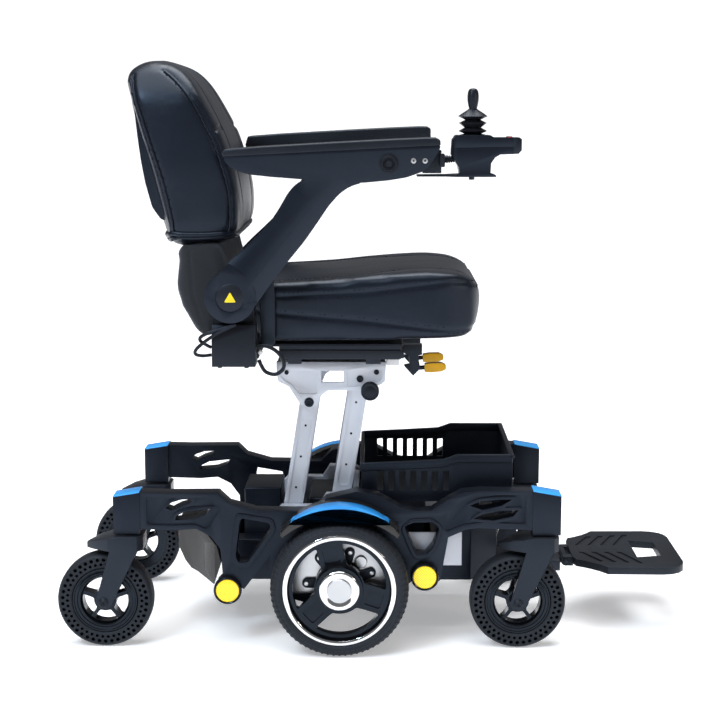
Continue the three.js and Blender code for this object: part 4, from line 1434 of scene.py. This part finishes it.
# ---------------------------------------------------------------- base
class CHAIR_OT_side_frames(bpy.types.Operator):
    """Makes the moulded side frames with their recesses, caps and rubbed edges."""

    bl_idname = "chair.side_frames"
    bl_label = "Side frames"

    def execute(self, context):
        radius = context.scene.chair_sizes.edge_radius
        frame_shape = cad_copy("side_frame_right")
        rear_recess = rounded(
            [(-424, 288), (-386, 285), (-300, 287), (-284, 272), (-303, 236), (-314, 226), (-336, 236),
            (-368, 233), (-424, 235)], 8, 4)
        front_recess = rounded(
            [(118, 250), (140, 266), (166, 288), (190, 292), (276, 293), (276, 238), (190, 240),
            (160, 236), (128, 222)], 8, 4)
        windows = [
            [(-394, 264), (-378, 282), (-360, 288), (-332, 289), (-336, 272), (-362, 264), (-380, 256)],
            [(-378, 238), (-374, 256), (-352, 267), (-296, 271), (-310, 250), (-336, 240)],
            [(164, 274), (188, 286), (226, 290), (260, 290), (236, 267), (196, 258)],
            [(170, 243), (192, 262), (226, 268), (272, 270), (258, 247), (216, 238)],
        ]
        rims = [plate_shape(rounded(w, 8, 4), "y", -240, -200) for w in windows]
        rear = carve(plate_shape(rear_recess, "y", -240, -222.8), [r.copy() for r in rims[:2]])
        front = carve(plate_shape(front_recess, "y", -240, -222.8), [r.copy() for r in rims[2:]])
        frame_shape = carve(frame_shape, [rear, front])
        pair(
            "side_frame_cover", frame_shape, "moulded_black", "base", ["side_frame_{}"], radius=radius,
            sharp=50)
        self.caps()
        self.window_rims()
        return {"FINISHED"}

    @staticmethod
    def caps():
        for name, outline in (
                ("rear", [(-485.5, 286.2), (-485.5, 288.8), (-436.5, 297), (-436.5, 294.4)]),
                ("front", [(288.5, 298.4), (288.5, 301.2), (340.5, 292.2), (340.5, 289.4)])):
            bm = bmesh.new()
            prism(bm, outline, "y", -228, -182)
            pair(f"pod_cap_{name}", bm, "accent_blue", "base", radius=0.001)

    @staticmethod
    def window_rims():
        for name, outline, hole in (
                ("front", [(44, 229), (64, 247), (106, 249), (124, 232), (112, 190), (95, 171), (69, 171),
                (57, 196)], [(52, 233), (68, 240), (104, 241), (116, 230), (105, 195), (91, 179),
                (74, 180), (65, 201)]), ("rear", [(-258, 257), (-190, 247), (-185, 224), (-235, 154),
                (-258, 154), (-269, 174), (-261, 240)], [(-249, 248), (-197, 239), (-194, 226),
                (-239, 163), (-254, 163), (-260, 175), (-252, 238)])):
            bm = bmesh.new()
            prism(bm, rounded(outline, 9, 5), "y", -229.5, -224)
            bm = carve(bm, [plate_shape(rounded(hole, 5, 5), "y", -240, -210)])
            pair(
                f"side_frame_window_rim_{name}", bm, "moulded_black", "base", radius=0.002, segments=4,
                sharp=50)
        plate = bmesh.new()
        block(plate, (58, -189.5, 148), (160, -186, 212))
        pair("side_frame_inner_plate", plate, "aluminium", "base", radius=0.0008)


class CHAIR_OT_fenders(bpy.types.Operator):
    """Makes the fenders over the drive wheels, with their coloured stripes."""

    bl_idname = "chair.fenders"
    bl_label = "Fenders"

    def execute(self, context):
        outer = arc((-66, 148), 138, 142, 38, 48)
        inner = arc((-66, 103), 161, 49.5, 130.5, 44)
        bm = bmesh.new()
        prism(bm, [*outer, *inner], "y", -286, -226.3)
        hollow = plate_shape(
            [*arc((-66, 147), 135.5, 139, 41, 48), *arc((-66, 60), 161, 60, 120, 30)], "y", -282, -220)
        bm = carve(bm, [hollow])
        pair("fender_shell", bm, "cover_grey", "base", ["fender_{}"], radius=0.0016, sharp=40)
        stripe = bmesh.new()
        prism(
            stripe, [*arc((-66, 148), 138.8, 130, 50, 40), *arc((-66, 106), 174.5, 60.8, 119.2, 36)], "y",
            -287.6, -256)
        pair("fender_stripe", stripe, "accent_blue", "base", radius=0.001, sharp=40)
        return {"FINISHED"}


class CHAIR_OT_base(bpy.types.Operator):
    """Makes the chassis, rear cover, basket, motors, reflectors and footplate."""

    bl_idname = "chair.base"
    bl_label = "Base"

    def execute(self, context):
        sizes = context.scene.chair_sizes
        finish_piece("chassis_shell", cad_copy("chassis_frame"), "moulded_black", "base",
                     replaces=["chassis_frame"], radius=0.002)
        finish_piece(
            "battery_case", cad_copy("battery_pack"), "dark_steel", "base", replaces=["battery_pack"],
            radius=0.004)
        finish_piece("lift_gearmotor_case", cad_copy("lift_gearmotor"), "moulded_black", "base",
                     replaces=["lift_gearmotor"], radius=0.003)
        self.rear_cover(sizes.edge_radius)
        self.basket()
        self.reflectors()
        self.motors()
        self.footplate()
        return {"FINISHED"}

    @staticmethod
    def rear_cover(radius):
        finish_piece(
            "rear_cover_shell", cad_copy("rear_cover"), "cover_grey", "base", replaces=["rear_cover"],
            radius=radius, segments=4, sharp=50)
        lens = bmesh.new()
        block(lens, (-387.5, -48, 152), (-380, 48, 174))
        finish_piece("rear_light", lens, "light_red", "base", slot="cover_grey", radius=0.003, segments=4)
        surround = bmesh.new()
        block(surround, (-386.2, -53, 147), (-380, 53, 179))
        finish_piece("rear_light_surround", surround, "moulded_black", "base", radius=0.0015)

    @staticmethod
    def basket():
        finish_piece("basket_shell", cad_copy("basket"), "basket_black", "base", replaces=["basket"],
                     radius=0.0014)
        rim = bmesh.new()
        line = [(-28, 331), (58, 335), (127, 339), (152, 348), (256, 348)]
        outline = [*[(x, z + 4) for x, z in line], *[(x, z - 12) for x, z in reversed(line)]]
        prism(rim, outline, "y", -153, -145)
        rim_left = flipped(rim)
        finish_piece("basket_rim_right", rim, "basket_black", "base", radius=0.002)
        finish_piece("basket_rim_left", rim_left, "basket_black", "base", radius=0.002)
        ends = bmesh.new()
        block(ends, (250, -153, 344), (259, 153, 352))
        block(ends, (-31, -153, 320), (-24, 153, 334))
        finish_piece("basket_rim_ends", ends, "basket_black", "base", radius=0.002)

    @staticmethod
    def reflectors():
        for name, (x, z) in (("rear", (-275, 112)), ("front", (90, 139))):
            middle = (x * MM, 0, z * MM)
            ring = bmesh.new()
            turned(
                ring, [(21.5, 226.3), (26, 226.3), (26.2, 236), (25.2, 238.4), (23.4, 239.4),
                (21.8, 238.4), (21.5, 226.3)], middle, "y", 64, RIGHT)
            pair(f"reflector_ring_{name}", ring, "rim_black", "base")
            lens = bmesh.new()
            turned(
                lens, [(0, 226.4), (21.6, 226.4), (21.6, 237), (20.5, 238.3), (14, 239.2), (0, 239.8)],
                middle, "y", 64, RIGHT)
            pair(f"reflector_lens_{name}", lens, "reflector_yellow", "base", [f"reflector_{name}_{{}}"])

    EARS = (19, 72, 128, 180)

    def motors(self):
        middle = (-0.067, 0, 0.127)
        bm = bmesh.new()
        turned(
            bm, [(0, 128.3), (34, 128.3), (34, 224), (44, 226.6), (45, 229), (45, 233), (43, 236),
            (38, 238), (30, 239.5), (26, 242), (20, 243), (20, 250), (10, 250), (10, 281), (0, 281)],
            middle, "y", 64, RIGHT)
        for turn in self.EARS:
            angle = math.radians(turn)
            out, side = Vector(
                (math.cos(angle), math.sin(angle))), Vector((-math.sin(angle), math.cos(angle)))
            spot = Vector((-67, 127)) + out * 61
            ear = [
                spot + side * 9 - out * 26, *[Vector(p) for p in arc(spot, 9, turn + 90, turn - 90, 10)],
                spot - side * 9 - out * 26]
            prism(bm, [tuple(p) for p in ear], "y", -237, -227)
        pair("motor_case", bm, "dark_steel", "base", ["motor_{}"], radius=0.0008)
        bolts = bmesh.new()
        for turn in self.EARS:
            angle = math.radians(turn)
            spot = ((-67 + 62 * math.cos(angle)) * MM, 0, (127 + 62 * math.sin(angle)) * MM)
            turned(bolts, [(0, 240.5), (3.6, 240.5), (4.4, 239.2), (4.4, 236)], spot, "y", 24, RIGHT)
        pair("motor_bolts", bolts, "bolt", "base", slot="chrome", radius=0.0003)
        plate = bmesh.new()
        prism(plate, arc((-67, 127), 88, -14, 194, 60), "y", -229.5, -226.4)
        pair("motor_mount_plate", plate, "bolt", "base", slot="aluminium", radius=0.0008)
        boss = bmesh.new()
        turned(
            boss, [(0, 236.5), (10.5, 236.5), (11.5, 235.5), (11.5, 229)], (-0.028, 0, 0.167), "y", 40,
            RIGHT)
        pair("motor_boss", boss, "bolt", "base", slot="chrome", radius=0.0004)

    @staticmethod
    def footplate():
        finish_piece("footplate_hinge", cad_copy("footplate_bracket"), "fork_black", "base",
                     replaces=["footplate_bracket"], radius=0.0012)
        plate = cad_copy("footplate")
        grooves = []
        for side in (RIGHT, LEFT):
            for number in range(4):
                x = 398 + number * 25
                line = [
                    (x, side * 24), (x + 32, side * (92 + number * 4)),
                    (x + 42, side * (90 + number * 4)), (x + 10, side * 23)]
                grooves.append(plate_shape(rounded(line, 3, 3), "z", 125, 131))
        plate = carve(plate, grooves)
        finish_piece(
            "footplate_top", plate, "footplate_grey", "footplate", replaces=["footplate"], radius=0.0022)


# ---------------------------------------------------------------- wheels
class CHAIR_OT_drive_wheels(bpy.types.Operator):
    """Makes the drive wheels: lugged tyres, three-spoke rims, chrome rings and caps."""

    bl_idname = "chair.drive_wheels"
    bl_label = "Drive wheels"

    def execute(self, context):
        lugs = context.scene.chair_sizes.tread_lugs
        parts = (
            ("drive_tyre_rubber", self.tyre(lugs), "tyre", "tyre", ["drive_tyre_{}"], 0.0009, 40),
            ("drive_rim_spokes", self.rim(), "rim_black", "rim_black", ["drive_rim_{}"], 0.0022, 50),
            ("drive_rim_ring", self.ring(), "chrome", "chrome", [], 0.0, 40),
            ("drive_hub_cap", self.cap(), "chrome", "chrome", ["hub_cap_{}"], 0.0, 40),
            ("drive_hub_centre", self.centre(), "bolt", "chrome", [], 0.0, 40),
        )
        for name, bm, finish, slot, nodes, radius, sharp in parts:
            for word, side in SIDES:
                placed = moved(bm, -67, side * 262, 127, side)
                finish_piece(f"{name}_{word}", placed, finish, f"drive_wheel_{word}", slot=slot,
                             replaces=[node.format(word) for node in nodes], radius=radius, sharp=sharp)
            bm.free()
        return {"FINISHED"}

    @staticmethod
    def tyre(lugs):
        bm = bmesh.new()
        turned(
            bm, [(104, -23), (107, -27.2), (111, -28), (113.4, -27.4), (114, -26.4), (119.6, -24),
            (123.6, -19), (125.9, -12), (126.3, -4), (126.3, 4), (125.9, 12), (123.6, 19), (119.6, 24),
            (114, 26.4), (113.4, 27.4), (111, 28), (107, 27.2), (104, 23), (104, -23)], (0, 0, 0), "y",
            128)
        lug = bmesh.new()
        prism(lug, [(114.6, 27.0), (120.4, 25.0), (124.6, 20), (126.9, 12), (127, 5), (124, 4), (120, 18),
                    (114, 24)], "z", -1.7, 1.7)
        prism(lug, [(127, 3.6), (127, -3.6), (124, -3.6), (124, 3.6)], "z", -1.6, 1.6)
        whole = bmesh.new()
        sample = bpy.data.meshes.new("lug")
        lug.to_mesh(sample)
        lug.free()
        for half, shift in ((1, 0.0), (-1, 0.5)):
            for number in range(lugs):
                start = len(whole.verts)
                whole.from_mesh(sample)
                whole.verts.ensure_lookup_table()
                fresh = whole.verts[start:]
                bmesh.ops.scale(whole, verts=fresh, vec=(1, half, 1))
                turn = Matrix.Rotation(math.tau * (number + shift) / lugs, 3, "Y")
                bmesh.ops.rotate(whole, verts=fresh, cent=(0, 0, 0), matrix=turn)
        merged = bpy.data.meshes.new("lugs")
        whole.to_mesh(merged)
        whole.free()
        bm.from_mesh(merged)
        return bm

    @staticmethod
    def spoke_gap(middle, half, inner, outer, spoke):
        """One opening between two spokes."""
        def clear(radius):
            return math.degrees(math.asin(spoke / 2 / radius))
        edge = arc((0, 0), outer, middle - half + clear(outer), middle + half - clear(outer), 14)
        hub = arc((0, 0), inner, middle + half - clear(inner), middle - half + clear(inner), 6)
        return rounded([*edge, *hub], 5, 3)

    def rim(self):
        bm = bmesh.new()
        turned(
            bm, [(11.2, -6), (94, -6), (94, -22), (103.8, -22), (103.8, 22), (96, 22.6), (94, 20),
            (92, 11.5), (60, 10.5), (44, 12.5), (43, 20), (11.2, 20), (11.2, -6)], (0, 0, 0), "y", 96)
        cutters = []
        for number in range(3):
            middle = 43 + 120 * number
            cutters.append(plate_shape(self.spoke_gap(middle, 60, 46.5, 86, 48), "y", -40, 40))
            turn = math.radians(103 + 120 * number)
            out, side = Vector(
                (math.cos(turn), math.sin(turn))), Vector((-math.sin(turn), math.cos(turn)))
            recess = [
                out * 51 + side * 14, out * 51 - side * 14, out * 81 - side * 15, out * 81 + side * 15]
            cutters.append(plate_shape(rounded([tuple(p) for p in recess], 5, 5), "y", 5.5, 30))
        return carve(bm, cutters)

    @staticmethod
    def ring():
        bm = bmesh.new()
        turned(
            bm, [(95.2, 21.5), (95.4, 23.8), (97, 24.9), (100, 25.4), (103, 24.8), (104.6, 23.4),
            (104.6, 21.5), (95.2, 21.5)], (0, 0, 0), "y", 112)
        return bm

    @staticmethod
    def cap():
        bm = bmesh.new()
        turned(
            bm, [(0, 20.3), (37, 20.3), (37.2, 22.4), (36.4, 24.2), (34.4, 25.2), (31, 25.6),
            (28.6, 25.1), (24, 24), (22.6, 23.4), (0, 23.4)], (0, 0, 0), "y", 96)
        return bm

    @staticmethod
    def centre():
        bm = bmesh.new()
        turned(bm, [(22.2, 23.2), (22.2, 25.4), (21.4, 26.2), (0, 26.4)], (0, 0, 0), "y", 72)
        return bm


class CHAIR_OT_casters(bpy.types.Operator):
    """Makes the caster wheels, with their holed tyres, and the forks that carry them."""

    bl_idname = "chair.casters"
    bl_label = "Casters"

    def execute(self, context):
        tyre = self.tyre(context.scene.chair_sizes.tyre_holes)
        rim = self.rim()
        axle = self.axle()
        for end, stem in zip(ENDS, (-453, 315)):
            for word, side in SIDES:
                x, y, z = stem - 52, side * 205, 89
                corner = f"{end}_{word}"
                finish_piece(f"caster_tyre_rubber_{corner}", moved(tyre, x, y, z, side), "tyre",
                             f"caster_{corner}", replaces=[f"caster_tyre_{corner}"], sharp=35)
                finish_piece(f"caster_rim_spokes_{corner}", moved(rim, x, y, z, side), "rim_black",
                             f"caster_{corner}", replaces=[f"caster_rim_{corner}"], sharp=40)
                finish_piece(
                    f"caster_axle_{corner}", moved(axle, x, y, z, side), "dark_steel", f"fork_{corner}",
                    radius=0.0004)
                fork = cad_copy(f"caster_fork_{corner}")
                finish_piece(f"caster_fork_arms_{corner}", fork, "fork_black", f"fork_{corner}",
                             replaces=[f"caster_fork_{corner}"], radius=0.0055, segments=4, sharp=50)
        for bm in (tyre, rim, axle):
            bm.free()
        return {"FINISHED"}

    @staticmethod
    def tyre(holes):
        bm = bmesh.new()
        turned(
            bm, [(62, -20), (65, -22.6), (68, -23), (84, -23), (86.4, -21), (88.2, -16), (89, -9),
            (89, 9), (88.2, 16), (86.4, 21), (84, 23), (68, 23), (65, 22.6), (62, 20), (62, -20)],
            (0, 0, 0), "y", 96)
        drill = bmesh.new()
        for radius, size, shift in ((69.4, 2.9, 0.0), (78.2, 3.6, 0.5)):
            for number in range(holes):
                turn = math.tau * (number + shift) / holes
                spot = (radius * math.cos(turn), radius * math.sin(turn))
                ring = [(spot[0] + size * math.cos(t), spot[1] + size * math.sin(t))
                        for t in [math.tau * k / 10 for k in range(10)]]
                prism(drill, ring, "y", 11, 30)
                prism(drill, ring, "y", -30, -11)
        return carve(bm, [drill])

    @staticmethod
    def rim():
        bm = bmesh.new()
        turned(
            bm, [(6.4, -22), (17, -22), (17, -15), (43, -12), (45, -16), (61.7, -19), (61.7, 19),
            (60, 20.6), (57.6, 20.6), (56.6, 19.2), (55, 19.2), (54, 20), (51.8, 20), (50.8, 18.4),
            (49.2, 18.4), (48.2, 19), (46, 18.6), (44.4, 16), (43, 12), (17, 15), (17, 22), (6.4, 22),
            (6.4, -22)], (0, 0, 0), "y", 80)
        cutters = []
        for number in range(5):
            middle = 90 + (number + 0.5) * 72
            def clear(radius):
                return math.degrees(math.asin(7 / 2 / radius))
            gap = [*arc((0, 0), 42.5, middle - 36 + clear(42.5), middle + 36 - clear(42.5), 8),
                   *arc((0, 0), 21.5, middle + 36 - clear(21.5), middle - 36 + clear(21.5), 3)]
            cutters.append(plate_shape(rounded(gap, 3, 2), "y", -40, 40))
        return carve(bm, cutters)

    @staticmethod
    def axle():
        bm = bmesh.new()
        turned(
            bm, [(0, 37.4), (3.2, 37.4), (3.4, 39.8), (6.4, 39.8), (7.4, 38.6), (8.6, 38.2), (9.6, 37.2),
            (9.6, 35.8), (0, 35.8)], (0, 0, 0), "y", 36)
        turned(
            bm, [(0, -39.8), (5, -39.8), (6.4, -38.6), (7.6, -38.4), (8.6, -37.2), (8.6, -35.8),
            (0, -35.8)], (0, 0, 0), "y", 32)
        return bm


# ---------------------------------------------------------------- panel and registration
OPERATORS = (
    CHAIR_OT_stage,
    CHAIR_OT_leads,
    CHAIR_OT_seat_cushion,
    CHAIR_OT_backrest,
    CHAIR_OT_back_cover,
    CHAIR_OT_arms,
    CHAIR_OT_joystick,
    CHAIR_OT_seat_hardware,
    CHAIR_OT_lift,
    CHAIR_OT_side_frames,
    CHAIR_OT_fenders,
    CHAIR_OT_base,
    CHAIR_OT_drive_wheels,
    CHAIR_OT_casters,
)


class CHAIR_PT_panel(bpy.types.Panel):
    """Sidebar panel with the sizes, the colours and one button for each group of pieces."""

    bl_idname = "CHAIR_PT_panel"
    bl_label = "Power wheelchair"
    bl_space_type = "VIEW_3D"
    bl_region_type = "UI"
    bl_category = "Wheelchair"

    def draw(self, context):
        layout = self.layout
        sizes = context.scene.chair_sizes
        colours = context.scene.chair_colours
        column = layout.column(align=True)
        for name in ("edge_radius", "metal_radius", "stitch_length", "stitch_pitch", "cushion_swell",
                     "tyre_holes", "tread_lugs"):
            column.prop(sizes, name)
        column = layout.column(align=True)
        for name in ("moulded", "leather", "accent", "lever", "reflector"):
            column.prop(colours, name)
        column = layout.column(align=True)
        for operator in OPERATORS:
            column.operator(operator.bl_idname)


CLASSES = (ChairSizes, ChairColours, *OPERATORS, CHAIR_PT_panel)


def register():
    for item in CLASSES:
        bpy.utils.register_class(item)
    bpy.types.Scene.chair_sizes = PointerProperty(type=ChairSizes)
    bpy.types.Scene.chair_colours = PointerProperty(type=ChairColours)


def unregister():
    del bpy.types.Scene.chair_colours
    del bpy.types.Scene.chair_sizes
    for item in reversed(CLASSES):
        bpy.utils.unregister_class(item)


def main():
    register()
    bpy.ops.chair.stage()
    bpy.ops.chair.leads()
    bpy.ops.chair.seat_cushion()
    bpy.ops.chair.backrest()
    bpy.ops.chair.back_cover()
    bpy.ops.chair.arms()
    bpy.ops.chair.joystick()
    bpy.ops.chair.seat_hardware()
    bpy.ops.chair.lift()
    bpy.ops.chair.side_frames()
    bpy.ops.chair.fenders()
    bpy.ops.chair.base()
    bpy.ops.chair.drive_wheels()
    bpy.ops.chair.casters()


if __name__ == "__main__":
    main()
